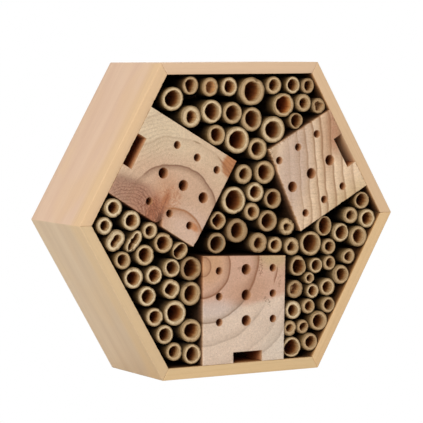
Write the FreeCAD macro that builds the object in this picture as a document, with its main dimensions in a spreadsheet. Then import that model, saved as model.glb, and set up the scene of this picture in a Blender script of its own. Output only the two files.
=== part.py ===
import FreeCAD, Part
import Sketcher
import math
import os

from FreeCAD import Placement, Rotation, Vector

# Hexagonal insect hotel: six mitred boards round three drilled timber blocks and 82 bamboo
# tubes, closed at the back by a panel that carries a strap hanger with a swinging ring.
#
# Row frame: origin at the middle of the underside, +X right, +Y to the back, +Z up.
# Every piece is first described about the hexagon's centre on the front plane, which lies
# at HEXAGON_CENTRE, and "up" and "across" below are measured from there.

SIDES = 6
SIDE_TURN = 360.0 / SIDES
ALONG_Y = Rotation(Vector(1, 0, 0), -90)
ALONG_X = Rotation(Vector(0, 1, 0), 90)

DIMENSIONS = {
    # frame
    "across_flats": 200.0,
    "overall_depth": 70.0,
    "board_thickness": 7.5,
    "lip_thickness": 3.5,
    "interior_depth": 60.0,
    "panel_thickness": 5.0,
    "panel_clearance": 0.3,
    # timber blocks
    "large_hole": 7.0,
    "small_hole": 5.0,
    "column_pitch": 20.0,
    "row_pitch": 16.5,
    "slot_length": 21.5,
    "slot_height": 7.0,
    # brads
    "brad_diameter": 1.2,
    "brad_length": 15.0,
    "brad_head": 2.6,
    "brad_head_height": 0.7,
    "brad_spread": 32.0,
    # hanger
    "pivot_up": 66.0,
    "wire_diameter": 2.0,
    "wire_clearance": 0.06,
    "strap_thickness": 1.0,
    "strap_width": 10.0,
    "strap_length": 39.0,
    "strap_gap": 0.3,
    "ring_half_width": 9.0,
    "ring_drop": 9.0,
    "ring_corner": 2.0,
    "screw_diameter": 2.9,
    "screw_bite": 4.0,
    "screw_head": 5.0,
    "screw_head_height": 1.6,
    "upper_screw_drop": 25.0,
    "lower_screw_drop": 34.0,
}

# Distances that several pieces share, as expressions: of the boards' faces from the
# hexagon's centre, and of the panel and the ring's pivot behind the front.
OUTER = "Dimensions.across_flats / 2"
LIP = "(Dimensions.across_flats / 2 - Dimensions.lip_thickness)"
INNER = "(Dimensions.across_flats / 2 - Dimensions.board_thickness)"
SHOULDER_MIDDLE = f"({LIP} + {INNER}) / 2"
PANEL_BACK = "(Dimensions.interior_depth + Dimensions.panel_thickness)"
CURL_RADIUS = ("(Dimensions.wire_diameter / 2 + Dimensions.wire_clearance"
               " + Dimensions.strap_thickness)")
PIVOT_BEHIND = f"({PANEL_BACK} + Dimensions.strap_gap + {CURL_RADIUS})"
HEXAGON_CENTRE = Vector(0, -DIMENSIONS["overall_depth"] / 2, DIMENSIONS["across_flats"] / 2)

# Each timber block stands on one board. left and right are its two ends along that board,
# lean how far each end has moved along by the inner face, height that end's height above
# the board, holes the place of the lowest middle hole, slot the middle of the slot.
BLOCKS = {
    "upper_left": {"left": -30.6, "right": 30.0, "left_lean": 0.1, "right_lean": 1.8,
                   "left_height": 71.0, "right_height": 70.5, "holes_across": 1.3,
                   "holes_up": 28.0, "slot_across": -1.0},
    "upper_right": {"left": -32.0, "right": 26.0, "left_lean": 1.2, "right_lean": 1.6,
                    "left_height": 58.5, "right_height": 52.5, "holes_across": -2.5,
                    "holes_up": 16.5, "slot_across": -3.0},
    "bottom": {"left": -28.7, "right": 31.6, "left_lean": 0.5, "right_lean": 1.4,
               "left_height": 70.0, "right_height": 67.5, "holes_across": 3.5,
               "holes_up": 27.0, "slot_across": 4.5},
}

# Turn of each board, seen from the front, from the bottom of the hexagon.
BOARD_TURNS = {"bottom": 0, "lower_left": 1, "upper_left": 2, "top": 3, "upper_right": 4,
               "lower_right": 5}

# Bamboo: across, up, outer diameter, bore, and how far the cut end lies behind the front.
# Two numbers more make a tube oval: the spread between its two lobes and their lean.
BAMBOO = {
    "top": [
        (-48.5, 77.5, 16.5, 10.5, 2.0), (-35.5, 85.5, 12.0, 7.5, 2.5),
        (-21.5, 84.5, 12.5, 7.0, 2.0), (-7.5, 84.5, 12.5, 7.5, 2.0),
        (9.0, 81.5, 19.5, 12.0, 1.5), (25.5, 85.0, 12.0, 7.0, 2.0),
        (40.0, 85.0, 11.5, 7.5, 2.0), (51.5, 84.5, 10.5, 6.5, 2.5),
        (31.5, 71.0, 16.0, 11.0, 0.5), (47.5, 73.5, 12.0, 6.5, 1.0),
        (42.0, 62.0, 11.0, 7.5, 1.5), (59.5, 71.5, 10.5, 6.0, 1.5),
        (-36.0, 66.0, 14.5, 7.0, 1.0), (-21.0, 69.0, 15.5, 10.0, 1.0),
        (-4.5, 67.5, 14.5, 9.5, 1.5), (10.0, 63.0, 16.0, 10.5, 2.0),
        (25.0, 56.5, 18.0, 11.0, 2.0), (-17.5, 54.0, 13.5, 8.5, 1.0),
        (-2.0, 50.5, 18.0, 11.5, 1.5), (14.0, 44.5, 14.5, 8.5, 2.0),
    ],
    "centre": [
        (3.0, 28.5, 13.0, 7.0, 2.0), (18.5, 29.0, 15.5, 9.5, 2.0),
        (-4.5, 12.0, 18.0, 12.5, 2.0), (11.5, 17.0, 13.0, 7.5, 1.5),
        (25.0, 12.0, 13.5, 9.0, 2.5), (9.5, 4.0, 12.0, 6.5, 2.0),
        (-16.0, -0.5, 12.0, 8.0, 2.0), (-2.0, -7.5, 16.0, 11.0, 2.0),
        (-16.0, -15.0, 14.0, 9.5, 4.0), (20.5, -2.0, 14.5, 9.5, 2.0),
        (35.5, -6.5, 11.5, 5.5, 2.0), (13.5, -16.0, 13.5, 7.0, 1.5),
        (26.5, -18.0, 11.0, 6.0, 2.0),
    ],
    "right": [
        (93.0, 8.5, 12.0, 8.5, 1.5), (84.0, -1.0, 11.5, 6.0, 1.0), (97.0, -4.0, 13.0, 8.0, 1.0),
        (89.5, -15.5, 14.0, 8.5, 0.5), (77.5, -12.0, 13.0, 8.5, 1.5),
        (65.5, -7.5, 13.5, 10.0, 2.0), (53.5, -18.0, 16.5, 11.5, 2.0),
        (39.5, -19.5, 12.0, 6.0, 2.0), (67.5, -21.5, 11.0, 6.5, 2.0),
        (82.0, -28.0, 11.0, 6.0, 0.5), (44.0, -33.0, 14.5, 9.5, 2.0),
        (57.5, -33.0, 10.5, 6.5, 1.5), (68.5, -32.5, 10.0, 6.0, 1.5),
        (76.0, -41.0, 13.0, 8.0, 0.5),
        (52.5, -41.0, 8.0, 4.5, 1.5), (41.5, -47.5, 12.5, 7.0, 2.0),
        (55.0, -50.0, 10.0, 6.0, 2.0), (67.0, -48.5, 12.0, 7.0, 1.5),
        (40.5, -61.0, 12.5, 7.0, 2.0), (53.0, -60.5, 10.5, 6.0, 2.0),
        (66.0, -60.0, 11.0, 7.0, 0.5), (38.5, -73.0, 10.5, 5.5, 2.0),
        (48.0, -73.0, 9.5, 6.0, 2.5), (58.5, -70.5, 13.5, 8.5, 0.5),
        (40.5, -85.0, 14.0, 9.5, 2.0), (53.0, -83.0, 12.0, 7.5, 0.5),
    ],
    "left": [
        (-91.5, 10.5, 12.5, 7.0, 0.5), (-78.0, 2.5, 13.0, 7.5, 2.0),
        (-65.5, -4.5, 11.0, 6.0, 2.0), (-55.5, -13.0, 13.5, 8.5, 2.0),
        (-43.0, -18.0, 12.0, 8.0, 2.0), (-97.0, -0.5, 11.5, 6.0, 2.0),
        (-89.5, -10.0, 12.0, 4.5, 2.0, 3.0, 48.0), (-76.0, -11.0, 9.0, 4.0, 1.5, 7.0, 52.0),
        (-69.0, -20.0, 13.5, 8.5, 2.0), (-85.0, -22.5, 11.5, 7.0, 1.0),
        (-77.0, -34.0, 14.0, 8.5, 2.0), (-62.5, -33.0, 12.0, 7.5, 2.0),
        (-50.5, -29.0, 12.0, 8.0, 0.5), (-35.5, -29.5, 15.5, 11.0, 1.5),
        (-50.0, -42.5, 13.0, 7.5, 2.0), (-35.5, -46.0, 15.5, 9.5, 1.5),
        (-67.5, -46.0, 13.0, 8.0, 2.0), (-62.0, -59.5, 12.5, 7.5, 2.0),
        (-47.5, -58.0, 16.5, 10.5, 2.0), (-36.0, -69.5, 15.5, 9.5, 1.0),
        (-55.0, -71.0, 12.5, 8.0, 2.0), (-47.5, -82.5, 12.0, 7.0, 2.0),
        (-35.0, -84.5, 13.5, 8.5, 1.5),
    ],
}

# The left and right bundles are stored in rows of a few tubes each.
ROWS = {"left": (5, 4, 4, 4, 3, 3), "right": (4, 4, 5, 5, 4, 4)}

TUBE_GAP = 0.2
SETTLING_STEPS = 400
SETTLING_RATE = 0.6
THROUGH = 1.0

doc = FreeCAD.newDocument("InsectHotel")
nodes = []


# ---------------------------------------------------------------- sheets and small helpers

def add_sheet(name, values):
    """A spreadsheet with one aliased number a row."""
    sheet = doc.addObject("Spreadsheet::Sheet", name)
    for row, (alias, value) in enumerate(values.items(), start=1):
        sheet.set(f"A{row}", alias)
        sheet.set(f"B{row}", str(value))
        sheet.setAlias(f"B{row}", alias)
    return sheet


def bind(item, **expressions):
    """Bind properties to expressions; a double underscore in a name stands for a dot."""
    for name, expression in expressions.items():
        item.setExpression(name.replace("__", "."), expression)


def keep(item, label):
    """Name a finished sub-part and add it to those that are written out."""
    item.Label = label
    nodes.append(item)
    return item


def role_plane(body, role):
    """One of a body's own origin planes."""
    return next(f for f in body.Origin.OriginFeatures if f.Role == role)


def front_sketch(body, name, behind_front="0"):
    """A sketch across the hexagon, its x across and y up, at a distance behind the front."""
    sketch = body.newObject("Sketcher::SketchObject", name)
    sketch.AttachmentSupport = [(role_plane(body, "XZ_Plane"), "")]
    sketch.MapMode = "FlatFace"
    bind(sketch, AttachmentOffset__Base__z=f"-({behind_front})")
    return sketch


def fix_point(sketch, geometry, point, across, up):
    """Hold one point of a sketch at bound distances from the hexagon's centre."""
    for kind, expression in (("DistanceX", across), ("DistanceY", up)):
        value = sketch.evalExpression(expression)
        index = sketch.addConstraint(Sketcher.Constraint(kind, -1, 1, geometry, point, value))
        sketch.setExpression(f"Constraints[{index}]", expression)


def outline(sketch, corners):
    """A closed outline through corners, given as pairs of expressions."""
    points = [Vector(sketch.evalExpression(a), sketch.evalExpression(u), 0) for a, u in corners]
    count = len(points)
    for start in range(count):
        sketch.addGeometry(Part.LineSegment(points[start], points[(start + 1) % count]))
    for side in range(count):
        sketch.addConstraint(Sketcher.Constraint("Coincident", side, 2, (side + 1) % count, 1))
    for side, (across, up) in enumerate(corners):
        fix_point(sketch, side, 1, across, up)


def circles(sketch, centres, diameter):
    """Circles of one bound diameter, centred at pairs of expressions."""
    radius = sketch.evalExpression(diameter) / 2
    for across, up in centres:
        middle = Vector(sketch.evalExpression(across), sketch.evalExpression(up), 0)
        number = sketch.addGeometry(Part.Circle(middle, Vector(0, 0, 1), radius))
        fix_point(sketch, number, 3, across, up)
        index = sketch.addConstraint(Sketcher.Constraint("Diameter", number, 2 * radius))
        sketch.setExpression(f"Constraints[{index}]", diameter)


def pad_back(body, sketch, length):
    """Pad a front sketch towards the back."""
    pad = body.newObject("PartDesign::Pad", sketch.Name + "Pad")
    pad.Profile = sketch
    pad.Reversed = True
    bind(pad, Length=length)
    doc.recompute()
    return pad


def pocket(body, sketch, depth, towards_back=True):
    """Cut a front sketch into a body, and make sure that it cuts something."""
    before = body.Shape.Volume
    cut = body.newObject("PartDesign::Pocket", sketch.Name + "Pocket")
    cut.Profile = sketch
    cut.Reversed = not towards_back
    bind(cut, Length=depth)
    doc.recompute()
    if body.Shape.Volume > before - 1.0:
        raise RuntimeError(f"{cut.Name} cuts nothing")
    return cut


def turned(turns):
    """Placement of a piece described for the bottom board, turned to another side."""
    return Placement(HEXAGON_CENTRE, Rotation(Vector(0, 1, 0), turns * SIDE_TURN))


def rod(name, diameter, length, across="0", up="0", behind="0", rotation=ALONG_Y):
    """A cylinder along +Y (or another way), its start placed by bound expressions."""
    cylinder = doc.addObject("Part::Cylinder", name)
    cylinder.Placement = Placement(Vector(), rotation)
    bind(cylinder, Radius=f"({diameter}) / 2", Height=length,
         Placement__Base__x=across,
         Placement__Base__y=f"({behind}) - Dimensions.overall_depth / 2",
         Placement__Base__z=f"({up}) + Dimensions.across_flats / 2")
    return cylinder


def block_box(name, width, depth, height, across, behind, up):
    """A box placed by the expressions of its lowest corner."""
    box = doc.addObject("Part::Box", name)
    bind(box, Length=width, Width=depth, Height=height, Placement__Base__x=across,
         Placement__Base__y=f"({behind}) - Dimensions.overall_depth / 2",
         Placement__Base__z=f"({up}) + Dimensions.across_flats / 2")
    return box


def fuse(name, pieces):
    """One solid out of overlapping pieces."""
    joined = doc.addObject("Part::MultiFuse", name)
    joined.Shapes = pieces
    return joined


def cut(name, base, tool):
    """Base with tool taken out of it."""
    result = doc.addObject("Part::Cut", name)
    result.Base = base
    result.Tool = tool
    return result


def group(name, pieces):
    """Several separate solids in one sub-part."""
    together = doc.addObject("Part::Compound", name)
    together.Links = pieces
    return together


# ---------------------------------------------------------------- hexagonal frame

def mitred_layer(body, name, outside, inside, length):
    """One layer of a mitred board, between two distances from the hexagon's centre."""
    half = f"/ {math.sqrt(3)}"
    sketch = front_sketch(body, name)
    outline(sketch, [(f"-({outside}) {half}", f"-({outside})"),
                     (f"({outside}) {half}", f"-({outside})"),
                     (f"({inside}) {half}", f"-({inside})"),
                     (f"-({inside}) {half}", f"-({inside})")])
    return pad_back(body, sketch, length)


def brad_places():
    """Across and up of the two panel brads over the bottom board's shoulder."""
    up = f"-({SHOULDER_MIDDLE})"
    return [("-Dimensions.brad_spread", up), ("Dimensions.brad_spread", up)]


def pilot_holes(body, name, places):
    """Holes for brads, from the panel's front face towards the front."""
    sketch = front_sketch(body, name, "Dimensions.interior_depth")
    circles(sketch, places, "Dimensions.brad_diameter")
    depth = "Dimensions.brad_length - Dimensions.panel_thickness"
    return pocket(body, sketch, depth, towards_back=False)


def frame_board(side, turns):
    """A board with mitred ends and a rebate behind, which the back panel sits in."""
    body = doc.addObject("PartDesign::Body", f"FrameBoard_{side}")
    mitred_layer(body, f"Outer_{side}", OUTER, LIP, "Dimensions.overall_depth")
    mitred_layer(body, f"Inner_{side}", LIP, INNER, "Dimensions.interior_depth")
    pilot_holes(body, f"Pilots_{side}", brad_places())
    body.Placement = turned(turns)
    return keep(body, f"frame_board_{side}")


# ---------------------------------------------------------------- back panel and brads

def rotated_place(across, up, turns):
    """The same place after turning it with the hexagon."""
    angle = math.radians(turns * SIDE_TURN)
    cos, sin = math.cos(angle), math.sin(angle)
    return (f"({across}) * {cos} + ({up}) * {sin}", f"({up}) * {cos} - ({across}) * {sin}")


def panel_brad_places():
    """Brads round the panel's edge, two to a side."""
    return [rotated_place(across, up, turns)
            for turns in range(SIDES) for across, up in brad_places()]


def block_brad_places(block):
    """Two brads into the back of a block, between its holes, in its board's own frame."""
    sizes = BLOCKS[block]
    up = f"-({INNER}) + {sizes['holes_up']} + 0.5 * Dimensions.row_pitch"
    step = "0.5 * Dimensions.column_pitch"
    return [(f"{sizes['holes_across']} - {step}", up), (f"{sizes['holes_across']} + {step}", up)]


def all_block_brad_places():
    return [rotated_place(across, up, BOARD_TURNS[block])
            for block in BLOCKS for across, up in block_brad_places(block)]


def screw_places():
    return [("0", f"Dimensions.pivot_up - Dimensions.{name}_screw_drop")
            for name in ("upper", "lower")]


def back_panel():
    """The board that closes the back, seated against the rebate's shoulder."""
    body = doc.addObject("PartDesign::Body", "BackPanel")
    sketch = front_sketch(body, "PanelOutline", "Dimensions.interior_depth")
    radius = f"({LIP} - Dimensions.panel_clearance) / {math.cos(math.radians(30))}"
    corners = []
    for corner in range(SIDES):
        angle = math.radians(corner * SIDE_TURN)
        corners.append((f"{radius} * {math.cos(angle)}", f"{radius} * {math.sin(angle)}"))
    outline(sketch, corners)
    pad_back(body, sketch, "Dimensions.panel_thickness")
    for name, places in (("PanelBradHoles", panel_brad_places()),
                         ("BlockBradHoles", all_block_brad_places())):
        holes = front_sketch(body, name, "Dimensions.interior_depth")
        circles(holes, places, "Dimensions.brad_diameter")
        pocket(body, holes, "Dimensions.panel_thickness")
    holes = front_sketch(body, "ScrewHoles", PANEL_BACK)
    circles(holes, screw_places(), "Dimensions.screw_diameter")
    pocket(body, holes, "Dimensions.screw_bite", towards_back=False)
    body.Placement = turned(0)
    return keep(body, "back_panel")


def headed_pin(name, place, shank, length, head, head_height, head_face):
    """A nail or screw from behind: a shank, and a head that stands on a face."""
    across, up = place
    shaft = rod(name + "Shank", shank, length, across, up, f"{head_face} - ({length})")
    cap = rod(name + "Head", head, head_height, across, up, head_face)
    return fuse(name, [shaft, cap])


def brads(name, label, places):
    """Brads driven through the panel from behind."""
    pins = [headed_pin(f"{name}{number}", place, "Dimensions.brad_diameter",
                       "Dimensions.brad_length", "Dimensions.brad_head",
                       "Dimensions.brad_head_height", PANEL_BACK)
            for number, place in enumerate(places, start=1)]
    return keep(group(name, pins), label)


# ---------------------------------------------------------------- drilled timber blocks

def timber_block(name):
    """A block on its board, with nine nesting holes and a slot at the foot, all cut right through."""
    sizes = BLOCKS[name]
    foot = f"-({INNER})"
    left, right = sizes["left"], sizes["right"]
    body = doc.addObject("PartDesign::Body", f"Block_{name}")
    sketch = front_sketch(body, f"BlockOutline_{name}")
    outline(sketch, [(f"{left}", foot), (f"{right}", foot),
                     (f"{right} + {sizes['right_lean']}", f"{foot} + {sizes['right_height']}"),
                     (f"{left} + {sizes['left_lean']}", f"{foot} + {sizes['left_height']}")])
    pad_back(body, sketch, "Dimensions.interior_depth")

    for size, columns in (("large", (0,)), ("small", (-1, 1))):
        holes = front_sketch(body, f"Holes_{size}_{name}")
        places = [(f"{sizes['holes_across']} + {column} * Dimensions.column_pitch",
                   f"{foot} + {sizes['holes_up']} + {row} * Dimensions.row_pitch")
                  for row in range(3) for column in columns]
        circles(holes, places, f"Dimensions.{size}_hole")
        pocket(body, holes, "Dimensions.interior_depth")

    slot = front_sketch(body, f"Slot_{name}")
    ends = [f"{sizes['slot_across']} {sign} Dimensions.slot_length / 2" for sign in "-+"]
    outline(slot, [(ends[0], foot), (ends[1], foot), (ends[1], f"{foot} + Dimensions.slot_height"),
                   (ends[0], f"{foot} + Dimensions.slot_height")])
    pocket(body, slot, "Dimensions.interior_depth")
    pilot_holes(body, f"BlockPilots_{name}", block_brad_places(name))
    body.Placement = turned(BOARD_TURNS[name])
    return keep(body, f"block_{name}")


# ---------------------------------------------------------------- bamboo tubes

def lobes(tube):
    """Middles of the circles that make a tube's outline: one, or two on an oval tube."""
    across, up = tube["place"]
    angle = math.radians(tube["lean"])
    reach = tube["spread"] / 2
    signs = (-1, 1) if reach else (0,)
    return [(across + s * reach * math.cos(angle), up + s * reach * math.sin(angle))
            for s in signs]


def nearest_on_edge(point, start, end):
    """The nearest place to a point on a straight edge."""
    run = (end[0] - start[0], end[1] - start[1])
    along = ((point[0] - start[0]) * run[0] + (point[1] - start[1]) * run[1])
    along = min(max(along / (run[0] ** 2 + run[1] ** 2), 0.0), 1.0)
    return (start[0] + along * run[0], start[1] + along * run[1])


def block_corners(name):
    """A block's corners, across and up, turned to its own board."""
    sizes = BLOCKS[name]
    foot = DIMENSIONS["board_thickness"] - DIMENSIONS["across_flats"] / 2
    corners = [(sizes["left"], foot), (sizes["right"], foot),
               (sizes["right"] + sizes["right_lean"], foot + sizes["right_height"]),
               (sizes["left"] + sizes["left_lean"], foot + sizes["left_height"])]
    angle = math.radians(BOARD_TURNS[name] * SIDE_TURN)
    cos, sin = math.cos(angle), math.sin(angle)
    return [(a * cos + u * sin, u * cos - a * sin) for a, u in corners]


def outward(point, corners):
    """Distance from a block's outline, negative inside, and the way out of it."""
    edges = list(zip(corners, corners[1:] + corners[:1]))
    near = min((nearest_on_edge(point, *edge) for edge in edges),
               key=lambda place: math.dist(point, place))
    sides = [(end[0] - start[0]) * (point[1] - start[1]) - (end[1] - start[1])
             * (point[0] - start[0]) for start, end in edges]
    sign = -1 if all(s > 0 for s in sides) or all(s < 0 for s in sides) else 1
    distance = max(math.dist(point, near), 1e-6)
    way = ((point[0] - near[0]) / distance * sign, (point[1] - near[1]) / distance * sign)
    return sign * distance, way


def settle(tubes):
    """Push tubes apart, off the boards and off the blocks until every gap is wide enough."""
    reach = DIMENSIONS["across_flats"] / 2 - DIMENSIONS["board_thickness"]
    walls = [(math.sin(math.radians(turn * SIDE_TURN)), math.cos(math.radians(turn * SIDE_TURN)))
             for turn in range(SIDES)]
    blocks = [block_corners(name) for name in BLOCKS]
    for _ in range(SETTLING_STEPS):
        circles_now = [(tube, middle, tube["outer"] / 2) for tube in tubes
                       for middle in lobes(tube)]
        shift = {id(tube): [0.0, 0.0] for tube in tubes}
        for number, (tube, middle, radius) in enumerate(circles_now):
            pushes = []
            for wall in walls:
                room = reach - middle[0] * wall[0] - middle[1] * wall[1] - radius - TUBE_GAP
                pushes.append((room, (-wall[0], -wall[1])))
            for corners in blocks:
                distance, way = outward(middle, corners)
                pushes.append((distance - radius - TUBE_GAP, way))
            for other, place, size in circles_now:
                if other is not tube:
                    apart = math.dist(middle, place)
                    way = ((middle[0] - place[0]) / apart, (middle[1] - place[1]) / apart)
                    pushes.append(((apart - radius - size - TUBE_GAP) / 2, way))
            for room, way in pushes:
                if room < 0:
                    shift[id(tube)][0] -= room * way[0]
                    shift[id(tube)][1] -= room * way[1]
        for tube in tubes:
            step = shift[id(tube)]
            tube["place"] = (tube["place"][0] + SETTLING_RATE * step[0],
                             tube["place"][1] + SETTLING_RATE * step[1])


def read_tubes():
    """The bamboo list as named values, settled into place."""
    tubes = []
    for bundle, entries in BAMBOO.items():
        for number, entry in enumerate(entries, start=1):
            across, up, outer, bore, recess = entry[:5]
            spread, lean = entry[5:] or (0.0, 0.0)
            tubes.append({"bundle": bundle, "key": f"{bundle}_{number:02d}",
                          "place": (across, up), "outer": outer, "bore": bore,
                          "recess": recess, "spread": spread, "lean": lean})
    settle(tubes)
    return tubes


def tube_sheet(tubes):
    """The settled tubes' numbers, each with an alias such as top_01_outer."""
    values = {}
    for tube in tubes:
        for name, value in (("across", tube["place"][0]), ("up", tube["place"][1]),
                            ("outer", tube["outer"]), ("bore", tube["bore"]),
                            ("recess", tube["recess"]), ("spread", tube["spread"]),
                            ("lean", tube["lean"])):
            values[f"{tube['key']}_{name}"] = round(value, 2)
    return add_sheet("Bamboo", values)


def lengthwise(name, key, size, behind, length, oval):
    """A round or oval rod along a tube."""
    cell = f"Bamboo.{key}"
    if not oval:
        return rod(name, f"{cell}_{size}", length, f"{cell}_across", f"{cell}_up", behind)
    ends = []
    for number, sign in enumerate("-+"):
        side = f"{sign} {cell}_spread / 2"
        ends.append(rod(f"{name}Lobe{number}", f"{cell}_{size}", length,
                        f"{cell}_across {side} * cos({cell}_lean)",
                        f"{cell}_up {side} * sin({cell}_lean)", behind))
    middle = doc.addObject("Part::Box", f"{name}Middle")
    middle.Placement = Placement(Vector(), Rotation(Vector(0, 1, 0), -TUBES[key]["lean"]))
    half_run = f"{cell}_spread / 2"
    half_wide = f"{cell}_{size} / 2"
    bind(middle, Length=f"{cell}_spread", Width=length, Height=f"{cell}_{size}",
         Placement__Base__x=f"{cell}_across - {half_run} * cos({cell}_lean)"
                            f" + {half_wide} * sin({cell}_lean)",
         Placement__Base__y=f"({behind}) - Dimensions.overall_depth / 2",
         Placement__Base__z=f"{cell}_up - {half_run} * sin({cell}_lean)"
                            f" - {half_wide} * cos({cell}_lean) + Dimensions.across_flats / 2")
    return fuse(name, ends + [middle])


def bamboo_tube(tube):
    """One length of bamboo, open at both ends, its back end against the panel."""
    key = tube["key"]
    oval = tube["spread"] > 0
    recess = f"Bamboo.{key}_recess"
    length = f"Dimensions.interior_depth - {recess}"
    culm = lengthwise(f"Culm_{key}", key, "outer", recess, length, oval)
    bore = lengthwise(f"Bore_{key}", key, "bore", f"{recess} - {THROUGH}",
                      f"{length} + {2 * THROUGH}", oval)
    return cut(f"Tube_{key}", culm, bore)


def bamboo():
    """Every tube of the top and centre bundles by itself, the other two in rows."""
    for bundle, entries in BAMBOO.items():
        tubes = [tube for tube in TUBES.values() if tube["bundle"] == bundle]
        if bundle not in ROWS:
            for number, tube in enumerate(tubes, start=1):
                keep(bamboo_tube(tube), f"bamboo_{bundle}_{number:02d}")
            continue
        first = 0
        for row, count in enumerate(ROWS[bundle], start=1):
            members = [bamboo_tube(tube) for tube in tubes[first:first + count]]
            keep(group(f"Row_{bundle}_{row}", members), f"bamboo_{bundle}_row_{row}")
            first += count


# ---------------------------------------------------------------- hanger

def hanger_plate():
    """A steel strap whose top is curled round the ring's bar."""
    width = "Dimensions.strap_width"
    left = f"-{width} / 2"
    strap = block_box("StrapFlat", width, "Dimensions.strap_thickness",
                      "Dimensions.strap_length", left, PANEL_BACK,
                      "Dimensions.pivot_up - Dimensions.strap_length")
    curl = rod("StrapCurl", f"2 * ({CURL_RADIUS})", width, left, "Dimensions.pivot_up",
               PIVOT_BEHIND, ALONG_X)
    eye = rod("StrapEye", "Dimensions.wire_diameter + 2 * Dimensions.wire_clearance",
              f"{width} + {2 * THROUGH}", f"{left} - {THROUGH}", "Dimensions.pivot_up",
              PIVOT_BEHIND, ALONG_X)
    holes = [rod(f"StrapHole{number}", "Dimensions.screw_diameter",
                 f"Dimensions.strap_thickness + {2 * THROUGH}", across, up,
                 f"{PANEL_BACK} - {THROUGH}")
             for number, (across, up) in enumerate(screw_places())]
    solid = fuse("StrapSolid", [strap, curl])
    openings = fuse("StrapOpenings", [eye] + holes)
    return keep(cut("HangerPlate", solid, openings), "hanger_plate")


def hanger_screws():
    face = f"{PANEL_BACK} + Dimensions.strap_thickness"
    screws = [headed_pin(f"Screw{number}", place, "Dimensions.screw_diameter",
                         "Dimensions.screw_bite + Dimensions.strap_thickness",
                         "Dimensions.screw_head", "Dimensions.screw_head_height", face)
              for number, place in enumerate(screw_places())]
    return keep(group("HangerScrews", screws), "hanger_screws")


def ring_path(half_width, drop, corner):
    """The wire's middle line: a bar, two corners, two legs and a half circle below."""
    bar = half_width - corner
    diagonal = corner * math.sin(math.radians(45))

    def at(across, up):
        return Vector(across, 0, up)

    return [
        Part.LineSegment(at(-bar, 0), at(bar, 0)),
        Part.Arc(at(bar, 0), at(bar + diagonal, diagonal - corner), at(half_width, -corner)),
        Part.LineSegment(at(half_width, -corner), at(half_width, -drop)),
        Part.Arc(at(half_width, -drop), at(0, -drop - half_width), at(-half_width, -drop)),
        Part.LineSegment(at(-half_width, -drop), at(-half_width, -corner)),
        Part.Arc(at(-half_width, -corner), at(-bar - diagonal, diagonal - corner), at(-bar, 0)),
    ]


def hanger_ring():
    """The stirrup-shaped ring, hanging from its bar."""
    get = dimensions.get
    edges = [piece.toShape() for piece in ring_path(
        get("ring_half_width"), get("ring_drop"), get("ring_corner"))]
    path = Part.Wire(edges)
    profile = Part.Wire([Part.Circle(Vector(0, 0, 0), Vector(1, 0, 0),
                                     get("wire_diameter") / 2).toShape()])
    profile.Placement.Base = Vector(-get("ring_half_width") + get("ring_corner"), 0, 0)
    solid = path.makePipeShell([profile], True, False, 2)
    expected = math.pi * get("wire_diameter") ** 2 / 4 * path.Length
    if abs(solid.Volume / expected - 1) > 0.01:
        raise RuntimeError("the ring's volume is wrong")
    ring = doc.addObject("Part::Feature", "HangerRing")
    ring.Shape = solid
    behind = dimensions.evalExpression(PIVOT_BEHIND)
    ring.Placement = Placement(HEXAGON_CENTRE + Vector(0, behind, get("pivot_up")), Rotation())
    return keep(ring, "hanger_ring")


# ---------------------------------------------------------------- build, check and write

dimensions = add_sheet("Dimensions", DIMENSIONS)
doc.recompute()
TUBES = {tube["key"]: tube for tube in read_tubes()}
tube_sheet(TUBES.values())
doc.recompute()

for board_side, board_turns in BOARD_TURNS.items():
    frame_board(board_side, board_turns)
back_panel()
for block_name in BLOCKS:
    timber_block(block_name)
bamboo()
brads("PanelBrads", "back_panel_brads", panel_brad_places())
brads("BlockBrads", "block_brads", all_block_brad_places())
hanger_plate()
hanger_screws()
hanger_ring()
doc.recompute()

for item in doc.Objects:
    if "Invalid" in item.State or "Error" in item.State:
        raise RuntimeError(f"{item.Name} failed: {item.State}")
os.makedirs("parts", exist_ok=True)
for node in nodes:
    if node.Shape.isNull() or not node.Shape.isValid():
        raise RuntimeError(f"{node.Label} has no valid shape")
for node in nodes:
    node.Shape.exportStep(f"parts/{node.Label}.step")
    print(f"{node.Label}: {len(node.Shape.Solids)} solids, {node.Shape.Volume:.0f} mm3")
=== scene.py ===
import math
import random

import bmesh
import bpy
import numpy as np
from mathutils import Matrix, Vector, noise
from mathutils.geometry import delaunay_2d_cdt


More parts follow.
